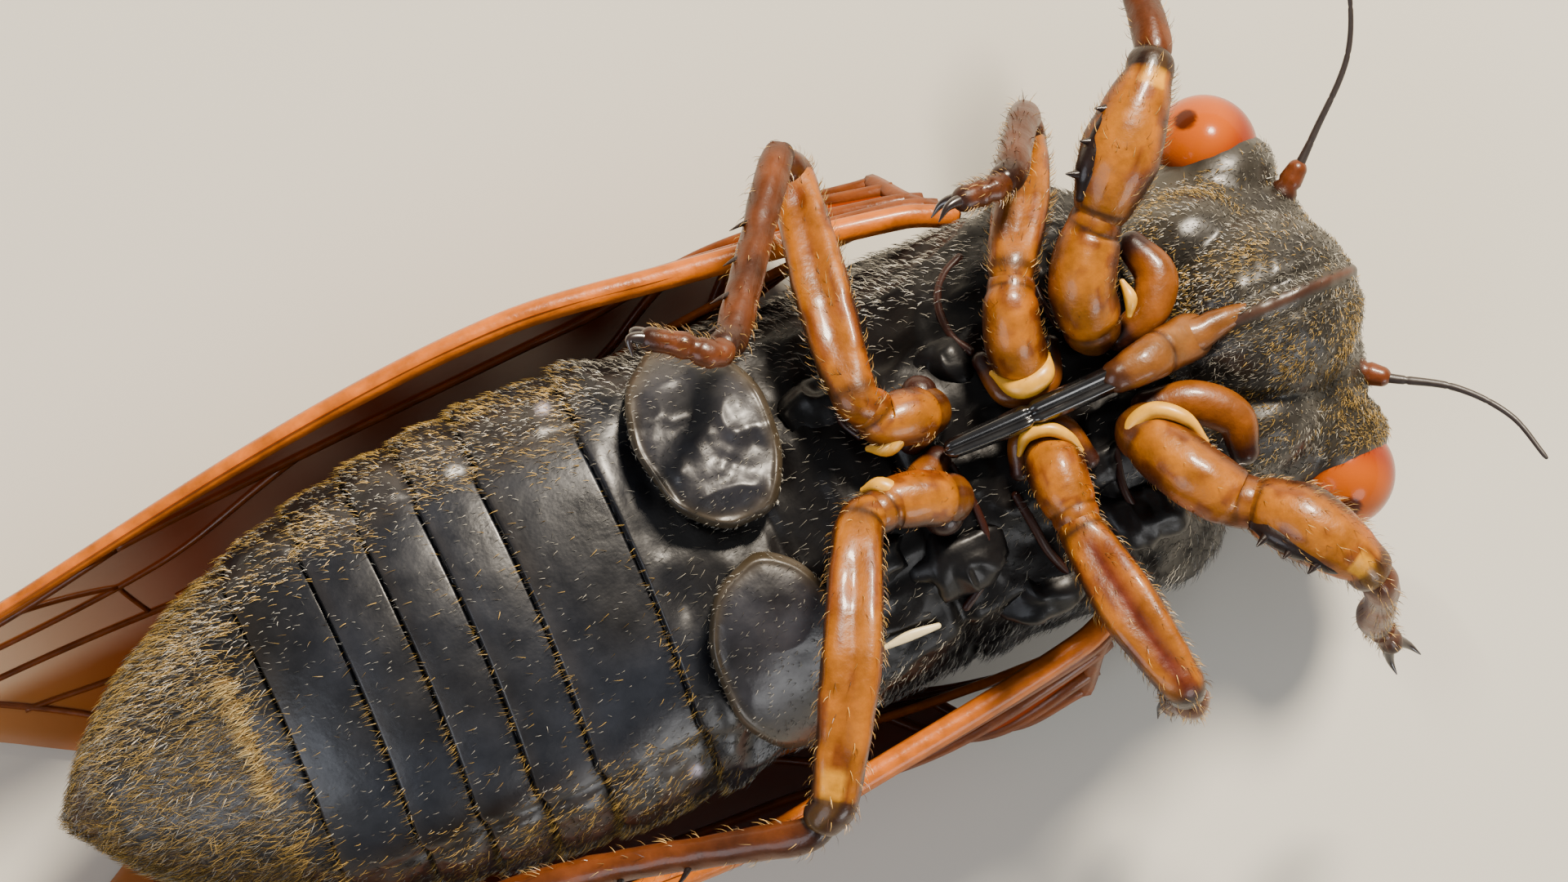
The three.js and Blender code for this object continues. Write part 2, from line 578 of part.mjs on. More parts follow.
function operculumShape(name, grow = 0) {
  const [centreX, centreY, turn] = OPERCULUM_PLACES[name];
  const outline = new THREE.Shape();
  outline.absellipse(0, 0, OPERCULUM.halfLength + grow, OPERCULUM.halfWidth + grow, 0, 2 * Math.PI);
  const cut = { depth: CUTTER_HEIGHT, bevelEnabled: false, curveSegments: 14 };
  const prismGeometry = new THREE.ExtrudeGeometry(outline, cut);
  prismGeometry.rotateZ(turn);
  prismGeometry.translate(centreX, centreY, CUTTER_LOW_Z);
  const prism = solidFromGeometry(prismGeometry);
  const outside = trunkSlice(-1.5, -8.1, GAP + OPERCULUM.thickness + grow);
  const inside = trunkSlice(-1.0, -8.1, Math.max(GAP - grow, 0.02));
  return prism.intersect(outside).subtract(inside);
}

// Materials, one for each kind of surface
const material = (color, roughness) => new THREE.MeshStandardMaterial({ color, roughness, metalness: 0 });
const MATERIALS = {
  shell: material("#171412", 0.35),
  amber: material("#c46a10", 0.4),
  darkAmber: material("#7a3512", 0.45),
  eye: material("#f0500a", 0.2),
  feeler: material("#2a1a12", 0.5),
  beak: material("#1a1210", 0.3),
  wing: material("#e08a2a", 0.35),
};

// Every piece, listed so that each one is cut clear of those before it.
const pieces = [];

// Pieces marked as trunk are slices of one body with their gaps built in, and aren't cut by each other.
function addPiece(name, materialName, make, trunk = false) {
  pieces.push({ name, materialName, make, trunk });
}

const SIDES = { left: -1, right: 1 };
for (const [name, side] of Object.entries(SIDES)) {
  addPiece(`forewing_${name}`, "wing", (grow) => wingSolid(side, FOREWING, FOREWING_BUILD, grow));
}
for (const [name, side] of Object.entries(SIDES)) {
  addPiece(`hindwing_${name}`, "wing", (grow) => wingSolid(side, HINDWING, HINDWING_BUILD, grow));
}
const LEG_PIECES = { tarsus: "darkAmber", tibia: "darkAmber", femur: "amber", coxa: "amber" };
for (const [piece, materialName] of Object.entries(LEG_PIECES)) {
  for (const leg of Object.keys(LEGS)) {
    addPiece(`leg_${leg}_${piece}`, materialName, (grow) => legPiece(leg, piece, grow));
  }
}
for (const [name, side] of Object.entries(SIDES)) {
  addPiece(`eye_${name}`, "eye", (grow) => eyeShape(side, grow));
}
for (const name of Object.keys(SIDES)) {
  addPiece(`antenna_${name}`, "feeler", (grow) => feelerShape(name, grow));
}
addPiece("rostrum", "beak", beakShape);
for (const name of Object.keys(SIDES)) {
  addPiece(`operculum_${name}`, "shell", (grow) => operculumShape(name, grow));
}
addPiece("head", "shell", headShape);
addPiece("postclypeus", "shell", faceShape);

const HALF_GAP = GAP / 2;
const TRUNK_CUTS = {
  prothorax: [THORAX_FRONT_X, PRONOTUM_REAR_X + HALF_GAP],
  mesothorax: [PRONOTUM_REAR_X - HALF_GAP, MESOTHORAX_REAR_X + HALF_GAP],
  metathorax: [MESOTHORAX_REAR_X - HALF_GAP, METATHORAX_REAR_X + HALF_GAP],
  abdomen_base: [METATHORAX_REAR_X - HALF_GAP, STERNITE_BORDERS_X[0] + HALF_GAP],
  abdomen_middle: [STERNITE_BORDERS_X[0] - HALF_GAP, STERNITE_BORDERS_X[2] + HALF_GAP],
  abdomen_rear: [STERNITE_BORDERS_X[2] - HALF_GAP, STERNITE_BORDERS_X[5] + HALF_GAP],
  abdomen_tip: [STERNITE_BORDERS_X[5] - HALF_GAP, TAIL_X],
};
for (const [name, [frontX, rearX]] of Object.entries(TRUNK_CUTS)) {
  addPiece(name, "shell", (grow) => trunkSlice(frontX, rearX, grow), true);
}

// Two boxes that come nearer than nothing can touch.
function boxesMeet(a, b) {
  return [0, 1, 2].every((i) => a.min[i] < b.max[i] && b.min[i] < a.max[i]);
}

function meshOf(solid, name, materialName) {
  const data = solid.getMesh();
  const geometry = new THREE.BufferGeometry();
  geometry.setAttribute("position", new THREE.Float32BufferAttribute(data.vertProperties, 3));
  geometry.setIndex(new THREE.Uint32BufferAttribute(data.triVerts, 1));
  geometry.computeVertexNormals();
  const mesh = new THREE.Mesh(geometry, MATERIALS[materialName]);
  mesh.name = name;
  return mesh;
}

const cicada = new THREE.Group();
const cutters = [];
for (const { name, materialName, make, trunk } of pieces) {
  let solid = make(0);
  for (const cutter of cutters) {
    if (trunk && cutter.trunk) continue;
    if (boxesMeet(solid.boundingBox(), cutter.solid.boundingBox())) solid = solid.subtract(cutter.solid);
  }
  cicada.add(meshOf(largest(solid), name, materialName));
  cutters.push({ solid: make(GAP), trunk });
}

export default cicada;
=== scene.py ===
import math

import bpy
import numpy as np
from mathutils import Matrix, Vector


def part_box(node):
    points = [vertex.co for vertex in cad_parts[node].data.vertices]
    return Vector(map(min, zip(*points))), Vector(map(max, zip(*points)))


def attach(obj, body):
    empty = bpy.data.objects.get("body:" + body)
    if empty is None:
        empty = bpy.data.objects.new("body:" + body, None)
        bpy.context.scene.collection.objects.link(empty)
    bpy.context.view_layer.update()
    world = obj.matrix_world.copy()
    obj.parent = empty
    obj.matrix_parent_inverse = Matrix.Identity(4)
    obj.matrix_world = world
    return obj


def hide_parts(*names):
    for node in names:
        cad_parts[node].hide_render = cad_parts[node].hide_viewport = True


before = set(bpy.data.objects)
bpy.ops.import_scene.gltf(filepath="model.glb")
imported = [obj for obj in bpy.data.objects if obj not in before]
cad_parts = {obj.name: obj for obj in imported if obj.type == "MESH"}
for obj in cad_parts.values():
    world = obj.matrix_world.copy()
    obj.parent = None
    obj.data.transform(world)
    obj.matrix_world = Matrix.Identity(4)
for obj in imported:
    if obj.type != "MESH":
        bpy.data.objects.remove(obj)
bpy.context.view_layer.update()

MM = 0.001
RANDOM = np.random.default_rng(17)
BODY = "root"
SIDES = {"left": -1, "right": 1}
THORAX = ("prothorax", "mesothorax", "metathorax")
ABDOMEN = ("abdomen_base", "abdomen_middle", "abdomen_rear", "abdomen_tip")

# Trunk stations, in millimetres along the body
NECK_X = 4.5
PRONOTUM_REAR_X = 2.3
MESOTHORAX_REAR_X = -1.0
METATHORAX_REAR_X = -3.7
STERNITE_BORDERS_X = (-6.3, -8.4, -9.65, -10.85, -12.1, -13.7)
TAIL_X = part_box("abdomen_tip")[0][0] / MM
TRUNK_SQUARENESS = 2.25
SKIN_INSET = 0.03

# Wings, in millimetres
WING_APEX_X = -27.0
WING_ANGLE_X = -16.5
WING_SOLID_THICKNESS = 0.5
WING_STRIP_WIDTH = 1.5
WING_STRIP_SHARE = 0.82
HINDWING_INSET = 0.88


# Small helpers
def profile(pairs):
    """A smooth line through a few (x, value) pairs, as a function of an array of x."""
    xs, ys = np.array(sorted(pairs), float).T
    slopes = np.empty_like(ys)
    slopes[1:-1] = (ys[2:] - ys[:-2]) / (xs[2:] - xs[:-2])
    slopes[0] = (ys[1] - ys[0]) / (xs[1] - xs[0])
    slopes[-1] = (ys[-1] - ys[-2]) / (xs[-1] - xs[-2])

    def value(x):
        x = np.clip(np.asarray(x, float), xs[0], xs[-1])
        i = np.clip(np.searchsorted(xs, x, side="right") - 1, 0, len(xs) - 2)
        width = xs[i + 1] - xs[i]
        t = (x - xs[i]) / width
        rise = (2 * t**3 - 3 * t**2 + 1) * ys[i] + (3 * t**2 - 2 * t**3) * ys[i + 1]
        return rise + ((t**3 - 2 * t**2 + t) * slopes[i] + (t**3 - t**2) * slopes[i + 1]) * width

    return value


def smooth_step(x, low, high):
    t = np.clip((np.asarray(x, float) - low) / (high - low), 0, 1)
    return t * t * (3 - 2 * t)


def bump(x, centre, width):
    return np.exp(-(((np.asarray(x, float) - centre) / width) ** 2))


def mix(a, b, t):
    return a + (b - a) * t


def unit(vectors):
    vectors = np.asarray(vectors, float)
    return vectors / np.maximum(np.linalg.norm(vectors, axis=-1, keepdims=True), 1e-12)


def soft_noise(points, size, seed):
    """Smooth noise from -1 to 1 at points in millimetres, in lumps of the given size."""
    q = np.asarray(points, float) / size + seed * 17.3
    cell = np.floor(q).astype(np.int64)
    t = q - cell
    t = t * t * (3 - 2 * t)
    total = 0
    for corner in np.ndindex(2, 2, 2):
        x, y, z = np.moveaxis(cell + np.array(corner), -1, 0)
        hashed = (x * 73856093) ^ (y * 19349663) ^ (z * 83492791) ^ (seed * 2654435)
        value = ((hashed * 1103515245 + 12345) & 0x7FFFFFFF) / 0x3FFFFFFF - 1
        total = total + value * np.prod(np.where(np.array(corner) == 1, t, 1 - t), axis=-1)
    return total


def clouds(points, size, seed):
    """The same noise from 0 to 1."""
    return 0.5 + 0.5 * soft_noise(points, size, seed)


def linear(hex_colour):
    """The linear red, green and blue of an sRGB hex colour."""
    parts = [int(hex_colour[i : i + 2], 16) / 255 for i in (1, 3, 5)]
    return np.array([p / 12.92 if p <= 0.04045 else ((p + 0.055) / 1.055) ** 2.4 for p in parts])


def stained(colours, hex_colour, share):
    """Linear colours moved towards another colour, by a share from 0 to 1 at each point."""
    return mix(colours, linear(hex_colour), np.asarray(share)[..., None])


def turns(count, offset=0.0):
    """Angles in equal steps once round."""
    return 2 * np.pi * (np.arange(count) + offset) / count


def ball_angles(rows, columns):
    """Angles from the pole and round it, for each point of a ball of rings."""
    return np.meshgrid(np.pi * (np.arange(rows) + 0.5) / rows, turns(columns), indexing="ij")


def grid_normals(grid, side):
    """Unit normals of a grid of rings of points, on the side that the given directions point to."""
    across = (np.roll(grid, -1, axis=1) - np.roll(grid, 1, axis=1)) / 2
    normals = unit(np.cross(np.gradient(grid, axis=0), across))
    return normals if (normals * side).sum() > 0 else -normals


def grid_faces(rows, columns, wrap=False, start=0):
    last = columns if wrap else columns - 1
    faces = []
    for ring in range(start, start + (rows - 1) * columns, columns):
        for j in range(last):
            a, b = ring + j, ring + (j + 1) % columns
            faces.append((a, b, b + columns, a + columns))
    return faces


def make_piece(name, nodes, material, points, faces, colours=None, uv=None, smooth=True):
    """A mesh object from points in millimetres, riding on the body and standing for its solids."""
    mesh = bpy.data.meshes.new(name)
    mesh.from_pydata((points * MM).tolist(), [], faces)
    mesh.materials.append(material)
    mesh.polygons.foreach_set("use_smooth", [smooth] * len(mesh.polygons))
    if colours is not None:
        full = np.ones((len(points), 4), np.float32)
        full[:, : colours.shape[1]] = colours
        mesh.color_attributes.new("tint", "FLOAT_COLOR", "POINT").data.foreach_set("color", full.ravel())
    if uv is not None:
        corners = np.empty(len(mesh.loops), np.int32)
        mesh.loops.foreach_get("vertex_index", corners)
        mesh.uv_layers.new(name="OFBake").data.foreach_set("uv", uv.astype(np.float32)[corners].ravel())
    mesh.update()
    piece = bpy.data.objects.new(name, mesh)
    bpy.context.scene.collection.objects.link(piece)
    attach(piece, BODY)
    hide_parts(*nodes)


def make_tubes(name, nodes, material, grids, tints=None):
    """One piece of closed tubes, each a grid of rings; a tint is one colour or a colour for each point."""
    faces, start, colours = [], 0, None
    for rows, columns in (grid.shape[:2] for grid in grids):
        end = start + rows * columns
        faces += grid_faces(rows, columns, True, start)
        faces += [tuple(range(start, start + columns))[::-1], tuple(range(end - columns, end))]
        start = end
    if tints is not None:
        colours = np.concatenate([
            np.broadcast_to(tint, (*grid.shape[:2], np.shape(tint)[-1])).reshape(-1, np.shape(tint)[-1])
            for grid, tint in zip(grids, tints)
        ])
    points = np.concatenate([grid.reshape(-1, 3) for grid in grids])
    make_piece(name, nodes, material, points, faces, colours)


# Materials
def set_inputs(material, node, inputs):
    """Gives inputs of a node their values, or links them to the outputs of other nodes."""
    for key, value in inputs.items():
        if isinstance(value, bpy.types.NodeSocket):
            material.node_tree.links.new(value, node.inputs[key])
        else:
            node.inputs[key].default_value = value


def add_node(material, kind, inputs=None, **settings):
    """Adds a node to a material with its settings, values and links."""
    made = material.node_tree.nodes.new("ShaderNode" + kind)
    for key, value in settings.items():
        setattr(made, key, value)
    set_inputs(material, made, inputs or {})
    return made


def new_material(name):
    material = bpy.data.materials.new(name)
    material.use_nodes = True
    return material


def finish(material, inputs):
    """Sets how a material looks, once the patterns that drive it are there."""
    set_inputs(material, material.node_tree.nodes["Principled BSDF"], inputs)
    return material


# Blender's noise keeps mostly between these
NOISE_LOW = 0.3
NOISE_HIGH = 0.7


def pattern_scale(size_mm):
    """The Scale of a texture on object coordinates whose cells are size_mm across."""
    return 1 / (size_mm * MM)


def tinted_shell(name, blotches, shades, roughness, grain_mm, grain_relief, creases, crease_relief):
    """Shell in the tint of each piece: blotches change its shade and gloss, over a fine grain and creases.

    Each relief is the strength of its bumps and their height in millimetres. Returns the material and
    the last number of the tint.
    """
    material = new_material(name)
    place = add_node(material, "TexCoord").outputs["Object"]
    tint = add_node(material, "Attribute", attribute_name="tint")
    cloud = add_node(material, "TexNoise", {"Vector": place, **blotches}).outputs["Fac"]
    shade, rough = [
        add_node(material, "MapRange", {
            "Value": cloud, "From Min": NOISE_LOW, "From Max": NOISE_HIGH, "To Min": low, "To Max": high,
        }).outputs["Result"]
        for low, high in (shades, roughness)
    ]
    colour = add_node(material, "VectorMath", {0: tint.outputs["Color"], "Scale": shade}, operation="SCALE")
    grain = add_node(
        material, "TexVoronoi", {"Vector": place, "Scale": pattern_scale(grain_mm)}, feature="SMOOTH_F1"
    ).outputs["Distance"]
    fine = add_node(
        material, "Bump", {"Height": grain, "Strength": grain_relief[0], "Distance": grain_relief[1] * MM}
    ).outputs["Normal"]
    dents = add_node(material, "TexNoise", {"Vector": place, **creases}).outputs["Fac"]
    coarse = add_node(material, "Bump", {
        "Height": dents, "Strength": crease_relief[0], "Distance": crease_relief[1] * MM, "Normal": fine,
    }).outputs["Normal"]
    finish(material, {"Base Color": colour.outputs["Vector"], "Roughness": rough, "Normal": coarse})
    return material, tint.outputs["Alpha"]


def black_cuticle():
    """Tanned insect shell, secreted in layers: near black, satin, with a faint blue-grey bloom."""
    # The real shell's leathery grain is about 0.03 mm; it is drawn at 0.07 mm so that it shows.
    material, polish = tinted_shell(
        "black_cuticle", {"Scale": pattern_scale(0.8), "Detail": 4.0, "Roughness": 0.6},
        shades=(0.75, 1.3), roughness=(0.3, 0.48), grain_mm=0.07, grain_relief=(0.18, 0.01),
        creases={"Scale": pattern_scale(0.35), "Detail": 6.0}, crease_relief=(0.35, 0.04),
    )
    # The last number of the tint is the polish: the folds between the legs are dull, the rest is satin.
    shine = add_node(material, "Math", {0: polish, 1: 0.38}, operation="MULTIPLY").outputs["Value"]
    return finish(material, {
        "IOR": 1.56, "Coat Weight": 0.06, "Coat Roughness": 0.2, "Specular IOR Level": shine,
    })


def amber_cuticle():
    """Untanned insect shell: amber, glossy and slightly see-through, with painted shade along the edges in
    its tint.
    """
    material = tinted_shell(
        "amber_cuticle", {"Scale": pattern_scale(0.6), "Detail": 5.0, "Roughness": 0.6},
        shades=(0.55, 1.2), roughness=(0.28, 0.5), grain_mm=0.12, grain_relief=(0.2, 0.015),
        creases={"Scale": pattern_scale(0.25), "Detail": 5.0, "Roughness": 0.6}, crease_relief=(0.4, 0.05),
    )[0]
    # Light sinks in furthest in the red, and only under a millimetre.
    return finish(material, {
        "IOR": 1.56, "Specular IOR Level": 0.24, "Coat Weight": 0.2, "Coat Roughness": 0.1,
        "Subsurface Weight": 0.05, "Subsurface Scale": 0.6,
        "Subsurface Radius": (0.8 * MM, 0.3 * MM, 0.1 * MM),
    })


def eye_cuticle():
    """Compound eye: clear lenses over red-orange pigment, a wet-looking gloss over fine facets."""
    material = new_material("eye_cuticle")
    place = add_node(material, "TexCoord").outputs["Object"]
    tint = add_node(material, "Attribute", attribute_name="tint").outputs["Color"]
    # Real facets are about 0.025 mm across; they are drawn at 0.05 mm so that they show.
    facets = add_node(
        material, "TexVoronoi", {"Vector": place, "Scale": pattern_scale(0.05)}, feature="F1"
    ).outputs["Distance"]
    relief = add_node(
        material, "Bump", {"Height": facets, "Strength": 0.1, "Distance": 0.01 * MM}, invert=True
    ).outputs["Normal"]
    return finish(material, {
        "Base Color": tint, "IOR": 1.45, "Roughness": 0.24, "Specular IOR Level": 0.15,
        "Coat Weight": 0.12, "Coat Roughness": 0.04, "Normal": relief,
    })


def wing_membrane():
    """Wing film, two clear layers of shell a few thousandths thick: amber, glossy and see-through."""
    material = new_material("wing_membrane")
    place = add_node(material, "TexCoord").outputs["Object"]
    tint = add_node(material, "Attribute", attribute_name="tint").outputs
    ripples = add_node(
        material, "TexNoise", {"Vector": place, "Scale": pattern_scale(0.9), "Detail": 3.0}
    ).outputs["Fac"]
    relief = add_node(material, "Bump", {"Height": ripples, "Strength": 0.3, "Distance": 0.06 * MM})
    return finish(material, {
        "IOR": 1.5, "Roughness": 0.35, "Specular IOR Level": 0.03,
        "Base Color": tint["Color"], "Alpha": tint["Alpha"], "Normal": relief.outputs["Normal"],
    })


def bristle():
    """Down: hollow hairs of clear shell, each in its own shade, satin so that they glint in strong light."""
    material = new_material("down")
    tint = add_node(material, "Attribute", attribute_name="tint").outputs["Color"]
    return finish(material, {"IOR": 1.55, "Roughness": 0.38, "Base Color": tint})


def plain_cuticle(name, colour, roughness, coat, grain_mm, depth_mm):
    """A shell finish in one colour with a fine grain; each caller says what it is."""
    material = new_material(name)
    place = add_node(material, "TexCoord").outputs["Object"]
    cloud = add_node(
        material, "TexNoise", {"Vector": place, "Scale": pattern_scale(grain_mm), "Detail": 4.0}
    ).outputs["Fac"]
    dark, bright = [(*(linear(colour) * share), 1.0) for share in (0.6, 1.35)]
    shade = add_node(material, "MixRGB", {"Fac": cloud, "Color1": dark, "Color2": bright})
    span = {"To Min": roughness - 0.1, "To Max": roughness + 0.1}
    rough = add_node(material, "MapRange", {"Value": cloud, **span})
    relief = add_node(material, "Bump", {"Height": cloud, "Strength": 0.3, "Distance": depth_mm * MM})
    return finish(material, {
        "IOR": 1.56, "Coat Weight": coat, "Coat Roughness": 0.12, "Base Color": shade.outputs["Color"],
        "Roughness": rough.outputs["Result"], "Normal": relief.outputs["Normal"],
    })


def make_materials():
    """One material for each kind of surface, by the name of what it covers."""
    return {
        "shell": black_cuticle(),
        "leg": amber_cuticle(),
        "eye": eye_cuticle(),
        "membrane": wing_membrane(),
        # Claws are fully tanned shell, near black and polished.
        "claw": plain_cuticle("claw_cuticle", "#1c0f0a", 0.28, 0.5, 0.2, 0.01),
        # The beak is a jointed black sheath with a smooth polish.
        "beak": plain_cuticle("beak_cuticle", "#0b0a0b", 0.25, 0.7, 0.3, 0.01),
        # Feelers are dull brown bristles.
        "feeler": plain_cuticle("feeler_cuticle", "#1d120d", 0.5, 0.1, 0.15, 0.02),
        # The soft skin at the leg joints is pale yellow and smooth.
        "joint_skin": plain_cuticle("joint_skin", "#cd9420", 0.4, 0.1, 0.2, 0.02),
        "down": bristle(),
    }


# Trunk: one skin over the thorax and abdomen
TRUNK_HALF_WIDTH = profile([
    (4.4, 3.55), (3.4, 4.05), (2.0, 4.0), (0, 3.95), (-3.7, 4.1), (-6.3, 4.35), (-9.65, 4.3),
    (-12.1, 3.95), (-13.7, 3.5), (-15, 2.95), (-16.3, 2.25), (-17.3, 1.5), (TAIL_X, 0.55),
])
TRUNK_BACK = profile([
    (4.4, 1.1), (3.4, 0.65), (2.3, 0.35), (1.7, -0.3), (-0.6, -0.45), (-1.6, 0.15), (-3.7, 1.35), (-6.3, 1.8),
    (-10.85, 1.9), (-13.7, 2.3), (-15.5, 2.75), (-17.3, 3.4), (TAIL_X, 4.1),
])
TRUNK_BELLY = profile([
    (4.4, 6.5), (3.4, 7.0), (0, 7.3), (-3.7, 7.6), (-6.3, 8.0), (-9.65, 8.05), (-12.1, 7.75),
    (-13.7, 7.35), (-15.5, 6.8), (-17.3, 6.0), (TAIL_X, 5.2),
])
STERNITE_HALF_WIDTH = 3.1
STERNITE_STEP = 0.14
BORDER_GROOVE = 0.1
BORDER_GROOVE_WIDTH = 0.035
STATION_SPACING = 0.11
BORDER_STATION_SPACING = 0.022
TRUNK_COLUMNS = 224
TAIL_ROUNDING = 1.1
BREATHING_HOLE = (-6.85, 3.75)


def border_bend(y):
    """How far a ring's rear border swings back towards the tail away from the midline."""
    return 0.28 * (np.abs(y) / 4.0) ** 2 - 0.12 * smooth_step(np.abs(y), 2.9, 3.3)


def ring_share(x, y):
    """Place within a ring, 0 at its front border and 1 at its rear one, and the nearest border's distance."""
    x = x + border_bend(y)
    borders = np.array((METATHORAX_REAR_X, *STERNITE_BORDERS_X, TAIL_X - 0.4))
    i = np.clip(np.searchsorted(-borders, -x) - 1, 0, len(borders) - 2)
    share = (borders[i] - x) / (borders[i] - borders[i + 1])
    return np.clip(share, 0, 1), np.abs(x[..., None] - borders[1:-1]).min(axis=-1)


def trunk_stations():
    """Stations along the trunk, close together at the borders of the rings."""
    steps = list(np.arange(NECK_X - 0.1, TAIL_X, -STATION_SPACING))
    steps += list(TAIL_X + TAIL_ROUNDING * (1 - np.cos(np.linspace(0.06, np.pi / 2, 16))))
    for border in STERNITE_BORDERS_X:
        steps += list(border + np.arange(-0.45, 0.3, BORDER_STATION_SPACING))
    return np.array(sorted(set(np.round(steps, 4)), reverse=True))


def trunk_grid(stations, angles):
    """The trunk's skin in millimetres as stations by angles by 3, before it is pushed in and out."""
    x = stations[:, None] + 0 * angles
    power = 2 / TRUNK_SQUARENESS
    across, upward = [np.sign(v) * np.abs(v) ** power for v in (np.cos(angles), np.sin(angles))]
    low, high = TRUNK_BACK(x), TRUNK_BELLY(x)
    to_end = np.clip((x - TAIL_X) / TAIL_ROUNDING, 0, 1)
    rounding = np.sqrt(1 - (1 - to_end) ** 2)
    y = across * (TRUNK_HALF_WIDTH(x) - SKIN_INSET) * rounding
    z = (low + high) / 2 + upward * ((high - low) / 2 - SKIN_INSET) * rounding
    return np.stack([x, y, z], axis=-1)


def trunk_height(x, y):
    """Height of the plain trunk's belly at a place."""
    low, high = TRUNK_BACK(x), TRUNK_BELLY(x)
    across = np.clip(np.abs(y) / TRUNK_HALF_WIDTH(x), 0, 0.995)
    rise = (1 - across**TRUNK_SQUARENESS) ** (1 / TRUNK_SQUARENESS)
    return (low + high) / 2 + rise * (high - low) / 2


def trunk_relief(points, belly):
    """Height of the skin's own forms over the plain trunk; belly is 1 underneath and 0 on the back."""
    x, y, z = np.moveaxis(points, -1, 0)
    share, border_gap = ring_share(x, y)
    abdomen = smooth_step(-x, 5.6, 6.3)
    tail = smooth_step(-x, 13.6, 14.2)
    high = smooth_step(z - (TRUNK_BACK(x) + TRUNK_BELLY(x)) / 2, 0.0, 1.0)
    # Each ring is a shallow arch from front to rear, and its rear edge stands over the next ring.
    arch = 0.05 * (1 - (2 * share - 1) ** 2) + STERNITE_STEP * (share - 0.5)
    groove = -BORDER_GROOVE * bump(border_gap, 0, BORDER_GROOVE_WIDTH)
    relief = abdomen * (1 - 0.85 * tail) * (arch + groove)
    # The belly plates end in a rounded edge; the folded skin beyond them is puckered and knobbed.
    edge = STERNITE_HALF_WIDTH + 0.25 * soft_noise(points * (0.35, 1, 1), 0.9, 2)
    beyond = smooth_step(np.abs(y), edge - 0.1, edge + 0.25) * high
    knobs = 0.12 * np.sin(np.pi * share) ** 0.6 - 0.06
    relief += abdomen * (1 - tail) * beyond * (knobs - 0.1 * bump(np.abs(y) - edge, 0.1, 0.12))
    pucker = soft_noise(points, 0.6, 3) * 0.06 + soft_noise(points, 0.25, 4) * 0.035
    smooth_plate = (1 - beyond) * high * (1 - tail)
    relief += pucker * abdomen * (1 - 0.9 * smooth_plate) * (1 - 0.5 * tail)
    relief += abdomen * tail * 0.04 * soft_noise(points * (0.5, 1, 1), 0.8, 10)
    # The thorax underneath is a patchwork of lobes and deep folds between the leg sockets.
    thorax = (1 - abdomen) * smooth_step(z, 1.5, 3.0)
    folds = -np.abs(soft_noise(points, 1.5, 5)) * 0.35 - np.abs(soft_noise(points, 0.7, 6)) * 0.12 + 0.12
    relief += thorax * (folds + 0.03 * soft_noise(points, 0.3, 15))
    for border in (PRONOTUM_REAR_X, MESOTHORAX_REAR_X, METATHORAX_REAR_X):
        relief -= 0.15 * bump(x, border, 0.12) * thorax
    # A furrow for the beak between the legs.
    return relief - 0.18 * bump(y, 0, 0.45) * smooth_step(x, -0.4, 0.2) * belly


def gold_cover(points):
    """How thick the gold down grows, 0 to 1: the ring margins, the sides and the tail."""
    x, y = points[..., 0], points[..., 1]
    margin = 0.35 * smooth_step(ring_share(x, y)[0], 0.72, 0.97)
    sides = 0.75 * smooth_step(np.abs(y), 2.6, 3.3)
    tail = 0.95 * smooth_step(-x, 13.6, 15.0)
    cover = smooth_step(-x, 5.8, 6.6) * np.maximum.reduce([margin, sides, tail])
    return np.clip(cover * (0.75 + 0.5 * soft_noise(points, 0.9, 9)), 0, 1)


def trunk_colours(points):
    """Black shell, blue-grey on the belly plates, with a dusty gold cast where the down grows thick."""
    x, y, z = np.moveaxis(points, -1, 0)
    colours = stained(linear("#0a0808"), "#171b24", smooth_step(-x, 5.2, 6.3) * clouds(points, 1.3, 8))
    colours = stained(colours, "#33291a", gold_cover(points) * 0.5)
    colours = stained(colours, "#4a2412", smooth_step(-x, 17.4, 18.2) * 0.7)
    # The breathing holes show as two pale dots, one on each side of the first belly plate.
    hole = bump(np.hypot(x - BREATHING_HOLE[0], np.abs(y) - BREATHING_HOLE[1]), 0, 0.09) * (z > 5)
    colours = stained(colours, "#c9c0cf", hole)
    polish = 0.35 + 0.65 * smooth_step(-x, 2.2, 4.5)
    return np.concatenate([colours, polish[..., None]], axis=-1)


def make_trunk(materials):
    """The skin of the thorax and abdomen; returns its points and normals, which the down grows on."""
    angles = turns(TRUNK_COLUMNS, 0.5)
    plain = trunk_grid(trunk_stations(), angles)
    outward = grid_normals(plain, np.outer(np.sin(angles), (0, 0, 1)))
    belly = smooth_step(np.sin(angles), -0.1, 0.4)
    points = plain + outward * trunk_relief(plain, belly)[..., None]
    points[..., 2] = np.maximum(points[..., 2], 0.0)
    make_tubes(
        "trunk_skin", THORAX + ABDOMEN, materials["shell"], [points], [trunk_colours(points)]
    )
    return points, outward


# Head: one skin over the skull and the swollen face, and the eyes
HEAD_CENTRE = np.array((6.1, 0.0, 3.9))
HEAD_HALF_WIDTH = profile([(4.7, 3.3), (5.6, 3.5), (6.6, 3.5), (7.4, 3.0), (8.0, 2.05), (8.4, 0.8)])
HEAD_BACK = profile([(4.7, 1.35), (5.6, 1.15), (6.6, 1.35), (7.4, 1.75), (8.0, 2.3), (8.4, 3.0)])
HEAD_FACE = profile([(4.7, 6.3), (5.6, 6.2), (6.6, 5.8), (7.4, 5.3), (8.0, 4.7), (8.4, 4.0)])
HEAD_FRONT_X = 8.42
HEAD_REAR_X = 4.35
HEAD_GRID = (150, 200)
HEAD_BLEND = 0.05
FACE_CENTRE = (6.45, 0.1, 5.15)
FACE_RADII = (2.12, 1.93, 2.05)
FACE_MIDLINE_Y = 0.15
FACE_GROOVE_SPACING = 0.42
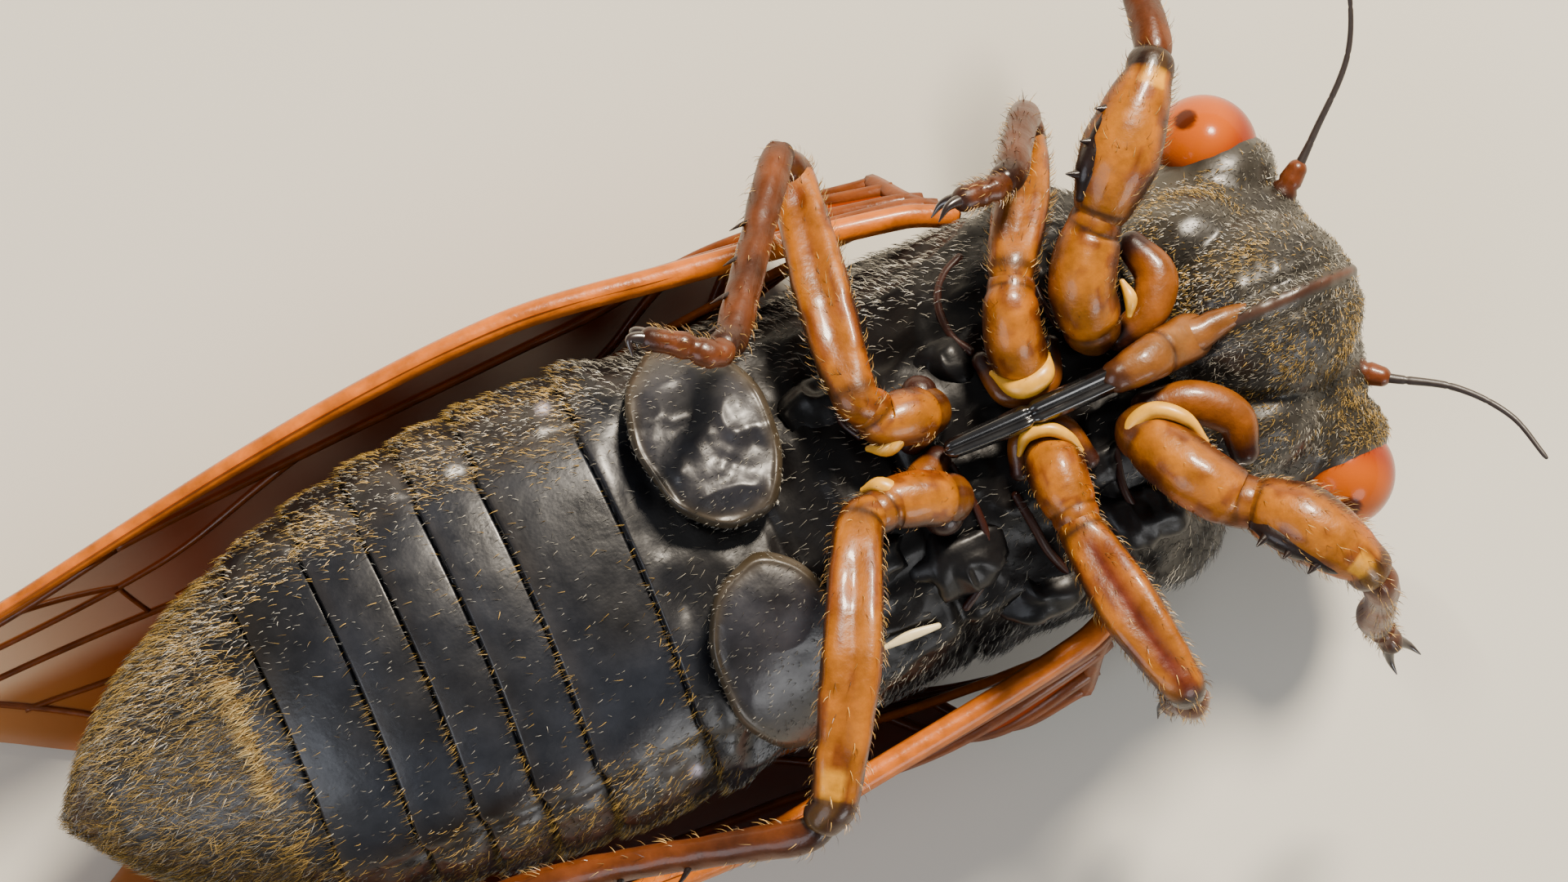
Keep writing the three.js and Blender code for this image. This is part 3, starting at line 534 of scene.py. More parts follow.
# On each side: the cheek plate, the socket of the feeler and the swelling under the eye
HEAD_LUMPS = (
    ((5.6, 1.9, 5.0), (1.35, 1.0, 1.35)),
    ((7.6, 1.8, 3.85), (0.5, 0.45, 0.45)),
    ((6.85, 2.8, 3.4), (1.2, 1.0, 1.45)),
)
EYE_CENTRE = (6.85, 3.42, 3.4)
EYE_RADII = (1.05, 1.05, 1.3)
EYE_GRID = (48, 72)


def skull_value(points):
    """Above 1 outside the skull and below 1 inside it."""
    x, y, z = np.moveaxis(points, -1, 0)
    low, high = HEAD_BACK(x), HEAD_FACE(x)
    round_part = np.sqrt((y / HEAD_HALF_WIDTH(x)) ** 2 + ((z - (low + high) / 2) / ((high - low) / 2)) ** 2)
    return np.maximum.reduce([round_part, 1 + (x - HEAD_FRONT_X) * 3, 1 + (HEAD_REAR_X - x) * 3])


def skull_reach(directions):
    """Distance from the head's centre to the skull's surface, by halving."""
    near = np.zeros(directions.shape[:-1])
    far = near + 6.0
    for _ in range(26):
        middle = (near + far) / 2
        outside = skull_value(HEAD_CENTRE + directions * middle[..., None]) > 1
        far = np.where(outside, middle, far)
        near = np.where(outside, near, middle)
    return near


def ball_reach(directions, centre, radii):
    """Distance from the head's centre to the far side of an ellipsoid, 0 where it is missed."""
    d = directions / radii
    o = (HEAD_CENTRE - centre) / radii
    a = (d**2).sum(-1)
    b = (d * o).sum(-1)
    inside = b**2 - a * ((o**2).sum(-1) - 1)
    return np.where(inside > 0, (-b + np.sqrt(np.maximum(inside, 0))) / a, 0)


def soft_max(values, softness):
    values = np.stack(values)
    top = values.max(0)
    return top + softness * np.log(np.exp((values - top) / softness).sum(0))


def face_relief(points, on_face):
    """The keel along the face, its cross furrows in a chevron, and a leathery pucker."""
    x, z = points[..., 0], points[..., 2]
    aside = np.abs(points[..., 1] - FACE_MIDLINE_Y)
    chevron = x - 0.55 * aside
    furrows = np.cos(2 * np.pi * chevron / FACE_GROOVE_SPACING + soft_noise(points, 0.8, 14)) * 0.006
    furrows *= smooth_step(aside, 0.16, 0.4) * smooth_step(1.85 - aside, 0, 0.5)
    keel = 0.1 * bump(aside, 0, 0.13) - 0.08 * bump(aside, 0.3, 0.1)
    pucker = soft_noise(points, 0.45, 11) * 0.035 + soft_noise(points, 0.2, 12) * 0.02
    return on_face * smooth_step(z, 4.6, 5.6) * (furrows + keel) + pucker


def head_colours(points, on_face):
    """Black face, a rusty keel, and a gold and grey dusting under the down."""
    colours = stained(linear("#110f0d"), "#433c2e", 0.5 * clouds(points, 0.9, 13))
    keel = bump(points[..., 1] - FACE_MIDLINE_Y, 0, 0.07) * smooth_step(points[..., 2], 5.4, 6.2)
    return stained(colours, "#45200e", 0.8 * keel * on_face)


def make_head(materials):
    """The skin of the skull and face, in rings round the body's own axis from the front to the neck."""
    tilt, turn = ball_angles(*HEAD_GRID)
    directions = np.stack([np.cos(tilt), np.sin(tilt) * np.cos(turn), np.sin(tilt) * np.sin(turn)], axis=-1)
    skull = skull_reach(directions)
    face = ball_reach(directions, FACE_CENTRE, FACE_RADII)
    lumps = [
        ball_reach(directions, (x, side * y, z), radii)
        for side in SIDES.values()
        for (x, y, z), radii in HEAD_LUMPS
    ]
    radius = soft_max([skull, face, *lumps], HEAD_BLEND) - HEAD_BLEND
    on_face = smooth_step(face - skull, 0.0, 0.2)
    points = HEAD_CENTRE + directions * radius[..., None]
    points = points + directions * face_relief(points, on_face)[..., None]
    make_tubes(
        "head_skin", ("head", "postclypeus"), materials["shell"], [points],
        [head_colours(points, on_face)],
    )
    return points, grid_normals(points, directions)


def eye_colours(ball, side):
    """Orange-red with painted shade deepening it towards the rim, and a painted dark spot that faces the
    viewer in a compound eye.
    """
    facing = (ball * unit((-0.15, side * 0.62, 0.75))).sum(-1)
    # Painted shade: the red deepens away from the side that faces the camera.
    colours = stained(linear("#a64a00"), "#7e2600", smooth_step(facing, 0.8, 0.3))
    # The dark spot is painted where the eye faces the camera; in a real eye it moves with the viewer.
    return stained(colours, "#260602", smooth_step(facing, 0.965, 0.982) * 0.9)


def make_eye(name, side, materials):
    tilt, turn = ball_angles(*EYE_GRID)
    ball = np.stack([np.sin(tilt) * np.cos(turn), np.sin(tilt) * np.sin(turn), np.cos(tilt)], axis=-1)
    points = ball * EYE_RADII + np.multiply(EYE_CENTRE, (1, side, 1))
    node = f"eye_{name}"
    make_tubes(f"{node}_ball", (node,), materials["eye"], [points], [eye_colours(ball, side)])


# Legs. Each row of knots is (x, y, z, half width, half height) in millimetres, from the body outwards;
# the half height is left out where it is the same as the half width.
# "wine" is how strongly painted shade darkens the groove along the top of a femur to wine-red.
LEGS = {
    "front_left": {
        "coxa": [(3.5, -1.15, 7.5, 0.58), (4.02, -2.2, 8.05, 0.62, 0.6), (4.6, -3.0, 8.0, 0.55)],
        "femur": [(5.0, -3.3, 8.1, 0.55), (5.65, -3.95, 8.35, 0.7, 0.66), (6.3, -4.95, 8.3, 0.5)],
        "tibia": [(6.5, -5.45, 8.0, 0.36), (6.4, -5.9, 6.8, 0.32), (6.25, -6.15, 5.5, 0.38)],
        "tarsus": [(6.28, -6.35, 4.9, 0.28), (6.4, -6.75, 4.5, 0.25)],
        "claw_turn": (0.15, -0.5, -0.25),
        "knee": 0.9,
        "spines": ("femur", (-0.9, -0.15, 0.45)),
    },
    "front_right": {
        "coxa": [(3.38, 1.1, 7.5, 0.58), (3.49, 1.9, 8.15, 0.62, 0.6), (4.0, 2.7, 8.2, 0.55)],
        "femur": [(4.4, 3.1, 8.3, 0.55), (5.1, 3.89, 8.6, 0.74, 0.68), (6.15, 5.0, 8.4, 0.5)],
        "tibia": [(6.5, 5.5, 8.15, 0.36), (6.7, 6.9, 7.2, 0.3), (6.8, 8.3, 6.0, 0.36)],
        "tarsus": [(6.88, 8.95, 5.6, 0.28), (6.98, 9.75, 5.4, 0.25)],
        "claw_turn": (0.1, 0.55, -0.2),
        "knee": 0.9,
        "spines": ("femur", (-0.9, 0.2, 0.45)),
    },
    "middle_left": {
        "coxa": [(1.69, -0.85, 7.5, 0.52, 0.5), (1.66, -1.2, 7.85, 0.55, 0.52), (1.66, -1.8, 7.95, 0.5)],
        "femur": [(1.68, -2.45, 8.1, 0.46), (1.91, -4.0, 8.7, 0.6, 0.55), (2.26, -5.7, 8.9, 0.45)],
        "tibia": [(2.32, -6.15, 8.25, 0.34), (2.3, -6.2, 6.6, 0.3), (2.2, -6.1, 5.0, 0.34)],
        "tarsus": [(2.15, -6.1, 4.3, 0.27), (2.1, -6.25, 3.3, 0.25)],
        "claw_turn": (-0.1, -0.35, -0.45),
        "wine": 0.95,
    },
    "middle_right": {
        "coxa": [(1.86, 0.85, 7.5, 0.52, 0.5), (1.92, 1.54, 8.05, 0.55, 0.52), (2.1, 2.1, 8.15, 0.5)],
        "femur": [(2.4, 2.75, 7.9, 0.46), (3.1, 3.85, 7.0, 0.55, 0.52), (3.65, 4.9, 5.95, 0.42)],
        "tibia": [(3.8, 5.3, 6.3, 0.32), (3.45, 4.9, 7.6, 0.3), (3.05, 4.35, 8.8, 0.34)],
        "tarsus": [(2.65, 4.2, 9.25, 0.27), (2.05, 4.25, 9.35, 0.25)],
        "claw_turn": (-0.5, -0.3, 0.0),
        "wine": 0.4,
    },
    "hind_left": {
        "coxa": [(-0.4, -0.85, 7.55, 0.5), (-0.95, -0.62, 7.95, 0.52, 0.5), (-1.45, -0.5, 8.15, 0.48)],
        "femur": [
            (-2.1, -0.6, 8.6, 0.45), (-2.45, -1.15, 9.2, 0.5), (-3.3, -2.9, 10.0, 0.58, 0.55),
            (-4.65, -5.25, 10.0, 0.45),
        ],
        "tibia": [
            (-5.25, -5.6, 9.75, 0.34), (-6.9, -5.25, 9.1, 0.3), (-9.2, -4.75, 8.3, 0.3),
            (-11.6, -4.5, 7.5, 0.36),
        ],
        "tarsus": [(-12.25, -4.48, 7.35, 0.28), (-13.7, -4.4, 7.0, 0.25)],
        "claw_turn": (-0.5, -0.1, -0.2),
        "knee": 0.7,
        "wine": 0.25,
        "spines": ("tibia", (-0.75, -0.65, 0.2)),
    },
    "hind_right": {
        "coxa": [(-0.15, 0.85, 7.55, 0.5), (-0.57, 0.9, 7.95, 0.52, 0.5), (-0.98, 0.98, 8.1, 0.48)],
        "femur": [(-1.3, 1.65, 8.4, 0.45), (-1.1, 3.6, 7.75, 0.55, 0.52), (-0.75, 6.0, 6.4, 0.44)],
        "tibia": [(-0.85, 6.4, 7.0, 0.32), (-2.0, 4.9, 8.6, 0.3), (-3.0, 3.55, 10.0, 0.34)],
        "tarsus": [(-3.4, 3.35, 10.6, 0.28), (-3.88, 3.75, 10.75, 0.26), (-4.4, 4.1, 10.7, 0.25)],
        "claw_turn": (-0.1, -0.5, -0.15),
        "wine": 0.4,
        "spines": ("tibia", (-0.75, 0.1, 0.65)),
    },
}
LEG_ORDER = ("coxa", "femur", "tibia", "tarsus")
LEG_SLOTS = {"coxa": "leg_amber", "femur": "leg_amber", "tibia": "shin", "tarsus": "foot"}
LIMB_COLUMNS = 40
LIMB_ROW_SPACING = 0.07
CAP_ROWS = 8
CAP_ANGLE = math.radians(86)
SPINE_PLACES = {"femur": (0.3, 0.55, 0.8), "tibia": (0.35, 0.55, 0.75, 0.92)}
SPINE_RADIUS = {"femur": 0.27, "tibia": 0.1}
SPINE_LENGTH = {"femur": 0.36, "tibia": 0.5}
SPINE_RINGS = 14
SPINE_COLUMNS = 12
RIDGE_PLACES = (0.12, 0.35, 0.65, 0.97)
RIDGE_RADII = (0.12, 0.26, 0.24, 0.15)
CLAW_LENGTH = 0.75
CLAW_RADIUS = 0.17
CLAW_RINGS = 20
UPRIGHT = 0.85


def smooth_path(rows, centres):
    """Rows of values at centres as one smooth function of the share of the way, and the way's length."""
    steps = np.linalg.norm(np.diff(centres, axis=0), axis=1)
    places = np.concatenate([[0], np.cumsum(steps)])
    lines = [profile(list(zip(places, column))) for column in np.transpose(rows)]

    def at(share):
        return np.stack([line(np.asarray(share) * places[-1]) for line in lines], axis=-1)

    return at, places[-1]


def limb_path(knots):
    """A smooth path through a limb's knots, with the half heights that they leave out."""
    rows = np.array([(*knot, knot[-1])[:5] for knot in knots])
    return smooth_path(rows, rows[:, :3])


def limb_frame(centres):
    """The tangent, sideways and upward directions along a limb's centre line."""
    tangent = unit(np.gradient(centres, axis=0))
    run = unit(centres[-1] - centres[0])
    side = unit(np.cross((1, 0, 0) if abs(run[2]) > UPRIGHT else (0, 0, 1), tangent))
    return tangent, side, np.cross(tangent, side)


def limb_grid(knots, columns=LIMB_COLUMNS, section=None, spacing=LIMB_ROW_SPACING):
    """Rings of a limb with rounded ends: points, outward normals, shares along it and angles round it."""
    at, length = limb_path(knots)
    rows = max(10, int(length / spacing))
    body = at(np.linspace(0, 1, rows))
    tangent, side, up = limb_frame(body[:, :3])
    ends = CAP_ANGLE * np.arange(1, CAP_ROWS + 1) / CAP_ROWS
    tilt = np.concatenate([-ends[::-1], np.zeros(rows), ends])
    index = np.clip(np.arange(len(tilt)) - CAP_ROWS, 0, rows - 1)
    share, angle = np.meshgrid(np.linspace(0, 1, rows)[index], turns(columns), indexing="ij")
    swell = np.cos(tilt)[:, None] * (section(share, angle) if section else 1)
    width, height = body[index, 3:, None].swapaxes(0, 1)
    lift = tangent[index] * np.sin(tilt)[:, None] * width
    across = side[index][:, None] * (np.cos(angle) * width * swell)[..., None]
    over = up[index][:, None] * (np.sin(angle) * height * swell)[..., None]
    points = (body[index, :3] + lift)[:, None] + across + over
    return points, unit(across + over + lift[:, None]), share, angle


def joined_knots(leg, piece):
    """A leg piece's knots, run on a little into its neighbours so that no gap shows at the joints."""
    knots = [np.array(knot) for knot in LEGS[leg][piece]]
    place = LEG_ORDER.index(piece)
    first, last = knots[0], knots[-1]
    if place > 0:
        before = LEGS[leg][LEG_ORDER[place - 1]][-1][:3]
        knots.insert(0, (*(first[:3] * 0.35 + np.multiply(before, 0.65)), *first[3:] * 0.82))
    if place < len(LEG_ORDER) - 1:
        after = LEGS[leg][LEG_ORDER[place + 1]][0][:3]
        knots.append((*(last[:3] * 0.6 + np.multiply(after, 0.4)), *last[3:] * 0.9))
    return knots


def groove_section(share, angle):
    """Two long ridges with a valley between them, fading at both ends."""
    off_top = np.abs(angle - np.pi / 2)
    along = smooth_step(share, 0.05, 0.3) * smooth_step(share, 0.97, 0.8)
    return 1 + along * (0.12 * bump(off_top, 0.85, 0.3) - 0.26 * bump(off_top, 0, 0.5))


def keel_section(share, angle):
    """A slight waist near both joints and a low ridge down each side."""
    waist = -0.1 * bump(share, 0.04, 0.06) - 0.08 * bump(share, 0.93, 0.05)
    return 1 + waist + 0.05 * bump(np.abs(np.cos(angle)), 1.0, 0.1)


def foot_section(share, angle):
    """The three joints of the foot."""
    return 1 - 0.22 * bump(share, 0.28, 0.04) - 0.22 * bump(share, 0.55, 0.04) - 0.1 * bump(share, 0.8, 0.1)


def limb_colours(leg, piece, points, share, angle):
    """Orange; amber top is painted light and brown sides painted shade; yellow knee patch, brown shins and
    feet.
    """
    orange, brown, wine = "#964a02", "#170905", "#4d1405"
    cloud = clouds(points, 0.8, 21)
    if piece in ("tibia", "tarsus"):
        dark = 0.75 * smooth_step(share, 0.82, 1.0) + 0.8 * smooth_step(share, 0.14, 0.0)
        return stained(stained(linear("#3a1a07"), orange, 0.35 * cloud), brown, np.clip(dark, 0, 1))
    # Painted light: the top, which faces the lamps, turns lighter amber.
    top = smooth_step(np.sin(angle), 0.2, 0.9)
    colours = stained(linear(orange), "#955806", 0.75 * top + 0.25 * cloud)
    round_it = np.stack([2.5 * share, np.cos(angle), np.sin(angle)], axis=-1)
    colours = stained(colours, wine, 0.6 * smooth_step(soft_noise(round_it, 0.28, 29), 0.1, 0.6))
    # Painted shade: brown in patches down both sides, where the round of each piece turns away from the
    # light.
    side_shade_and_knee = 0.9 * smooth_step(np.abs(np.cos(angle)), 0.7, 0.95) * smooth_step(cloud, 0.1, 0.5)
    rim = 0.85 * np.maximum(bump(share, 0.02, 0.06), bump(share, 0.96, 0.04))
    if piece == "femur":
        off_top = angle - np.pi / 2
        # Painted shade: wine-red in the groove along the top of the femur, by the leg's "wine" amount.
        valley = bump(np.abs(off_top), 0, 0.5) * smooth_step(share, 0.03, 0.25)
        colours = stained(colours, wine, LEGS[leg].get("wine", 0) * valley)
        patch = smooth_step(share, 0.84, 0.87) * smooth_step(np.abs(off_top - 0.2), 0.6, 0.4)
        colours = stained(colours, "#cf8f14", LEGS[leg].get("knee", 0) * patch)
        # The femur's dark knee end joins the painted side shade.
        side_shade_and_knee = np.maximum(side_shade_and_knee, smooth_step(share, 0.925, 0.95))
        rim = 0.9 * np.maximum(bump(share, 0.1, 0.03), smooth_step(share, 0.05, 0.0))
    return stained(colours, brown, np.clip(np.maximum(side_shade_and_knee, rim), 0, 1) * (0.75 + 0.25 * cloud))


def spine_grid(points, radius, rings=SPINE_RINGS):
    """A tapered spine or claw through a few points, as rings that close to a fine tip."""
    places = np.linspace(0, 1, len(points))
    knots = [(*point, radius * max(1 - t, 0.08)) for point, t in zip(points, places)]
    return limb_grid(knots, SPINE_COLUMNS, None, limb_path(knots)[1] / rings)[0]


def leg_spines(leg, piece):
    """Rings of the teeth on a front femur, with the dark ridge under them, or the spurs on a hind shin."""
    bearer, lean = LEGS[leg].get("spines", (None, None))
    if bearer != piece:
        return []
    at = limb_path(LEGS[leg][piece])[0]
    lean = unit(lean)
    grids = []
    for i, place in enumerate(SPINE_PLACES[piece]):
        here, ahead = at(place), at(min(place + 0.02, 1.0))
        root = here[:3] + lean * 0.3 * here[3]
        reach = 0.7 * here[3] + SPINE_LENGTH[piece] * (0.85 if i % 2 else 1.0)
        tip = root + lean * reach + unit(ahead[:3] - here[:3]) * 0.2 * SPINE_LENGTH[piece]
        grids.append(spine_grid([root, root + lean * reach * 0.55, tip], SPINE_RADIUS[piece]))
    if piece == "femur":
        knots = []
        for here, radius in zip(at(RIDGE_PLACES), RIDGE_RADII):
            knots.append((*(here[:3] + lean * (0.98 * here[3] - 0.45 * radius)), radius))
        ridge = limb_grid(knots, 20)[0]
        grids.append(ridge + (0.03 * soft_noise(ridge, 0.3, 28))[..., None])
    return grids


def claw_grids(leg):
    """Rings of the two hooked claws that spread from the tip of a foot."""
    before, tip = np.array([knot[:3] for knot in LEGS[leg]["tarsus"][-2:]])
    ahead = unit(tip - before)
    turn = np.array(LEGS[leg]["claw_turn"])
    across = unit(np.cross(ahead, turn))
    grids = []
    for side in (-1, 1):
        middle = tip + ahead * CLAW_LENGTH * 0.5 + across * side * 0.22
        end = middle + turn * 0.6 + across * side * 0.08
        grids.append(spine_grid([tip - ahead * 0.1, middle, end], CLAW_RADIUS, CLAW_RINGS))
    return grids


def make_leg(leg, materials):
    """One skin for each piece of a leg and its claws; returns the grids that the bristles grow on."""
    skins = {}
    for piece in LEG_ORDER:
        node = f"leg_{leg}_{piece}"
        grooved = piece == "femur" and not leg.startswith("front")
        section = {"tarsus": foot_section}.get(piece, groove_section if grooved else keel_section)
        grid, outward, share, angle = limb_grid(joined_knots(leg, piece), section=section)
        colours = limb_colours(leg, piece, grid, share, angle)
        grid = grid + outward * (0.02 * soft_noise(grid, 0.35, 22))[..., None]
        spines = leg_spines(leg, piece)
        tints = [colours] + [linear("#170a06")] * len(spines)
        make_tubes(f"{node}_skin", (node,), materials["leg"], [grid, *spines], tints)
        skins[piece] = (grid, outward, share, angle)
    make_tubes(f"leg_{leg}_claws", (f"leg_{leg}_tarsus",), materials["claw"], claw_grids(leg))
    return skins


# Leg sockets: amber cups and rims at the roots of the legs, and the yellow skin of each hinge
SOCKET_RIMS = (
    [(5.15, -2.2, 6.75, 0.3), (5.2, -1.55, 6.95, 0.4, 0.34), (4.6, -0.98, 7.1, 0.42, 0.34),
     (3.75, -0.72, 7.15, 0.32, 0.3)],
    [(4.7, 2.2, 6.9, 0.3), (4.88, 1.5, 7.05, 0.42, 0.34), (4.5, 0.95, 7.15, 0.38, 0.32),
     (3.8, 0.7, 7.15, 0.28)],
    [(-0.35, -0.1, 7.35, 0.3), (-0.75, -0.45, 7.6, 0.42, 0.4), (-0.62, -1.1, 7.45, 0.4, 0.36)],
    [(-0.6, 0.45, 7.4, 0.3), (-0.28, 0.72, 7.6, 0.38, 0.36), (-0.15, 1.2, 7.45, 0.36, 0.34)],
    [(1.05, -0.9, 7.2, 0.2), (1.3, -0.35, 7.35, 0.22, 0.2), (2.1, -0.4, 7.35, 0.22, 0.2),
     (2.35, -1.2, 7.2, 0.2)],
    [(1.2, 1.3, 7.2, 0.2), (1.4, 0.5, 7.35, 0.22, 0.2), (2.2, 0.45, 7.35, 0.22, 0.2),
     (2.5, 1.1, 7.2, 0.2)],
)
HINGE_ARCS = (
    [(4.5, -1.75, 7.75, 0.07), (4.3, -1.18, 7.95, 0.14, 0.16), (3.8, -0.82, 7.9, 0.17, 0.2),
     (3.28, -0.98, 7.75, 0.16, 0.18), (3.12, -1.5, 7.6, 0.06)],
    [(4.22, 1.65, 7.9, 0.06), (4.24, 1.3, 7.95, 0.13, 0.15), (4.1, 1.02, 7.85, 0.06)],
    [(1.15, -0.6, 7.55, 0.05), (1.42, -0.33, 7.8, 0.13, 0.15), (1.86, -0.38, 7.85, 0.14, 0.16),
     (2.15, -0.68, 7.75, 0.11, 0.12), (2.27, -0.98, 7.6, 0.05)],
    [(1.28, 1.02, 7.6, 0.06), (1.62, 0.58, 7.8, 0.22), (2.15, 0.62, 7.8, 0.22),
     (2.38, 0.95, 7.6, 0.07)],
    [(-1.85, -0.06, 8.2, 0.06), (-1.53, -0.1, 8.35, 0.17, 0.18), (-1.3, -0.4, 8.3, 0.17, 0.18),
     (-1.33, -0.78, 8.1, 0.06)],
    [(-1.45, 0.62, 7.95, 0.06), (-1.08, 0.52, 8.1, 0.2), (-0.74, 0.8, 8.1, 0.22),
     (-0.66, 1.15, 7.95, 0.07)],
)
# Thin brown rims of the thorax plates, as (x, y) places along each, with the radius of the rim
PLATE_RIMS = (
    ([(-0.12, -0.28), (0.0, -1.18), (-0.06, -1.99), (-0.43, -2.59), (-0.89, -2.9)], 0.08),
    ([(1.6, 3.3), (1.19, 3.1), (0.87, 2.66), (0.85, 1.99), (1.08, 1.56)], 0.09),
    ([(0.8, -1.3), (0.88, -1.89), (0.99, -2.61), (1.3, -3.2), (1.9, -3.4)], 0.09),
    ([(-1.3, 2.4), (-1.6, 1.9), (-1.7, 1.3), (-1.5, 0.9)], 0.08),
    ([(2.9, -1.2), (2.75, -2.0), (2.9, -2.8)], 0.08),
    ([(2.8, 1.3), (2.7, 2.1), (2.85, 2.9)], 0.08),
)
PLATE_LUMPS = ((0.49, 1.5, 0.45), (2.5, -1.3, 0.45), (-2.0, 1.6, 0.6), (-0.7, -1.9, 0.75),
               (-2.3, -1.2, 0.6), (3.1, 2.2, 0.6), (2.9, -2.5, 0.7), (0.6, -3.0, 0.7))
CREAM_FOLD = [(-2.62, -3.0, 0.05), (-2.12, -2.98, 0.1), (-1.53, -3.02, 0.06)]


def make_thorax_plates(materials):
    """The rims and knobs of the plates between the legs, and the cream fold beside the hind leg."""
    grids = []
    for places, radius in PLATE_RIMS:
        grids.append(limb_grid([(x, y, trunk_height(x, y) - 0.02, radius) for x, y in places], 20)[0])
    for x, y, radius in PLATE_LUMPS:
        z = trunk_height(x, y) - 0.65 * radius
        knots = [(x + end * radius, y, z, radius, 0.8 * radius) for end in (-0.3, 0.3)]
        grid, outward = limb_grid(knots, 36, None, 0.03)[:2]
        dents = 0.12 - 0.3 * np.abs(soft_noise(grid, 0.5, 26)) + 0.05 * soft_noise(grid, 0.25, 27)
        grids.append(grid + outward * dents[..., None])
    knots = [(x, y, trunk_height(x, y) + 0.04, radius, 0.05) for x, y, radius in CREAM_FOLD]
    grids.append(limb_grid(knots, 20)[0])
    wine, black, cream = [
        (*linear(colour), polish) for colour, polish in (("#2a1008", 0.6), ("#0c0b0c", 0.5), ("#cdbb8e", 0.8))
    ]
    tints = [wine] * len(PLATE_RIMS) + [black] * len(PLATE_LUMPS) + [cream]
    make_tubes("thorax_plates", THORAX, materials["shell"], grids, tints)


def make_sockets(materials):
    """The fixed parts round the leg roots."""
    grids, tints = [], []
    for knots in SOCKET_RIMS:
        grid, _, share, _ = limb_grid(knots)
        ends = np.maximum(bump(share, 0, 0.12), bump(share, 1, 0.12))
        brown = np.clip(ends + 0.35 * (1 - clouds(grid, 0.5, 23)), 0, 1)
        tints.append(stained(linear("#7e4404"), "#2a1006", brown))
        grids.append(grid)
    make_tubes("leg_sockets", THORAX, materials["leg"], grids, tints)
    hinges = [limb_grid(knots, 24)[0] for knots in HINGE_ARCS]
    make_tubes("hinge_skin", THORAX[:2], materials["joint_skin"], hinges)


# Beak and feelers
BEAK_KNOTS = [(3.6, 0.05, 7.8, 0.27), (1.5, 0.0, 7.85, 0.25, 0.26), (0.05, 0.0, 7.85, 0.2, 0.22)]
BEAK_BASE_KNOTS = [
    (5.05, 0.2, 6.95, 0.46, 0.36), (4.5, 0.14, 7.35, 0.46, 0.4), (4.0, 0.08, 7.7, 0.42, 0.4),
    (3.45, 0.05, 7.85, 0.34, 0.3),
]
FACE_BRIDGE_KNOTS = [(6.9, 0.24, 6.95, 0.1, 0.12), (6.0, 0.22, 6.98, 0.22), (4.8, 0.17, 7.12, 0.4, 0.32)]
FEELERS = {
    "right": [(8.05, 2.12, 3.95), (8.4, 2.4, 4.02), (8.9, 2.85, 4.1), (10.0, 3.9, 4.3), (10.5, 4.9, 4.5),
              (10.6, 5.7, 4.7)],
    "left": [(8.0, -1.78, 3.95), (8.35, -2.05, 4.02), (9.5, -2.75, 4.1), (10.25, -3.65, 4.3),
             (10.55, -4.65, 4.5)],
}
FEELER_RADII = (0.15, 0.1, 0.07, 0.06, 0.05, 0.04)
FEELER_BASES = {
    "right": [(7.7, 1.9, 3.88, 0.34), (8.0, 2.1, 3.94, 0.26), (8.32, 2.34, 4.0, 0.2)],
    "left": [(7.7, -1.56, 3.88, 0.34), (7.95, -1.75, 3.94, 0.26), (8.26, -1.98, 4.0, 0.2)],
}


def beak_section(share, angle):
    """Two rails with a slot between them along the side that faces out."""
    off_top = np.abs(angle - np.pi / 2)
    return 1 + 0.14 * bump(off_top, 0.6, 0.25) - 0.35 * bump(off_top, 0, 0.28) - 0.2 * bump(share, 0.55, 0.02)


def make_beak(materials):
    """The black sheath, and the amber base that runs on as a bridge down the face."""
    sheath = limb_grid(BEAK_KNOTS, 48, beak_section, 0.04)[0]
    make_tubes("beak_sheath", ("rostrum",), materials["beak"], [sheath])
    grids, tints = [], []
    for knots, joint in ((BEAK_BASE_KNOTS, 0.45), (FACE_BRIDGE_KNOTS, 0.98)):
        grid, outward, share, angle = limb_grid(knots)
        ring = bump(share, joint, 0.03)
        # Painted light makes the top paler in patches, and painted shade browns the sides and underneath; the
        # ring and the far end are the dark joints.
        pale = 0.4 * clouds(grid, 0.4, 24) * smooth_step(np.sin(angle), 0.3, 0.9)
        edge = 0.7 * smooth_step(np.sin(angle), 0.6, 0.1)
        brown = np.clip(ring + edge + bump(share, 1, 0.08), 0, 1) * 0.8
        tints.append(stained(stained(linear("#6a3a08"), "#8a6030", pale), "#2a0f05", brown))
        grids.append(grid + outward * (0.03 * soft_noise(grid, 0.3, 25) - 0.03 * ring)[..., None])
    make_tubes("beak_base", ("rostrum", "postclypeus"), materials["leg"], grids, tints)


def feeler_section(share, angle):
    """The short joints of a feeler's bristle."""
    return 1 - 0.2 * bump((share * 5) % 1, 0, 0.05)


def feeler_base_section(share, angle):
    """The two joints of a feeler's base."""
    return 1 - 0.18 * bump(share, 0.55, 0.06)


def make_feeler(name, materials):
    """A brown bristle in short joints, on a two-jointed amber base."""
    node = f"antenna_{name}"
    knots = [(*place, radius) for place, radius in zip(FEELERS[name], FEELER_RADII)]
    bristle = limb_grid(knots, 16, feeler_section, 0.05)[0]
    make_tubes(f"{node}_bristle", (node,), materials["feeler"], [bristle])
    base, _, share, _ = limb_grid(FEELER_BASES[name], 28, feeler_base_section)
    tint = stained(linear("#5e2c0a"), "#1d0f08", smooth_step(share, 0.7, 0.3) * 0.95)
    make_tubes(f"{node}_base", (node,), materials["leg"], [base], [tint])


# Opercula: the two rounded plates over the hearing organs, each as its middle's place and its turn
OPERCULA = {"left": (-4.45, -2.3, -0.12), "right": (-4.2, 2.1, 0.12)}
OPERCULUM_HALF_LENGTH = 1.33
OPERCULUM_HALF_WIDTH = 1.93
OPERCULUM_LOW = 0.25
OPERCULUM_HIGH = 0.88
OPERCULUM_WRINKLES = {"left": 0.03, "right": 0.1}
OPERCULUM_RINGS = 46
OPERCULUM_COLUMNS = 120


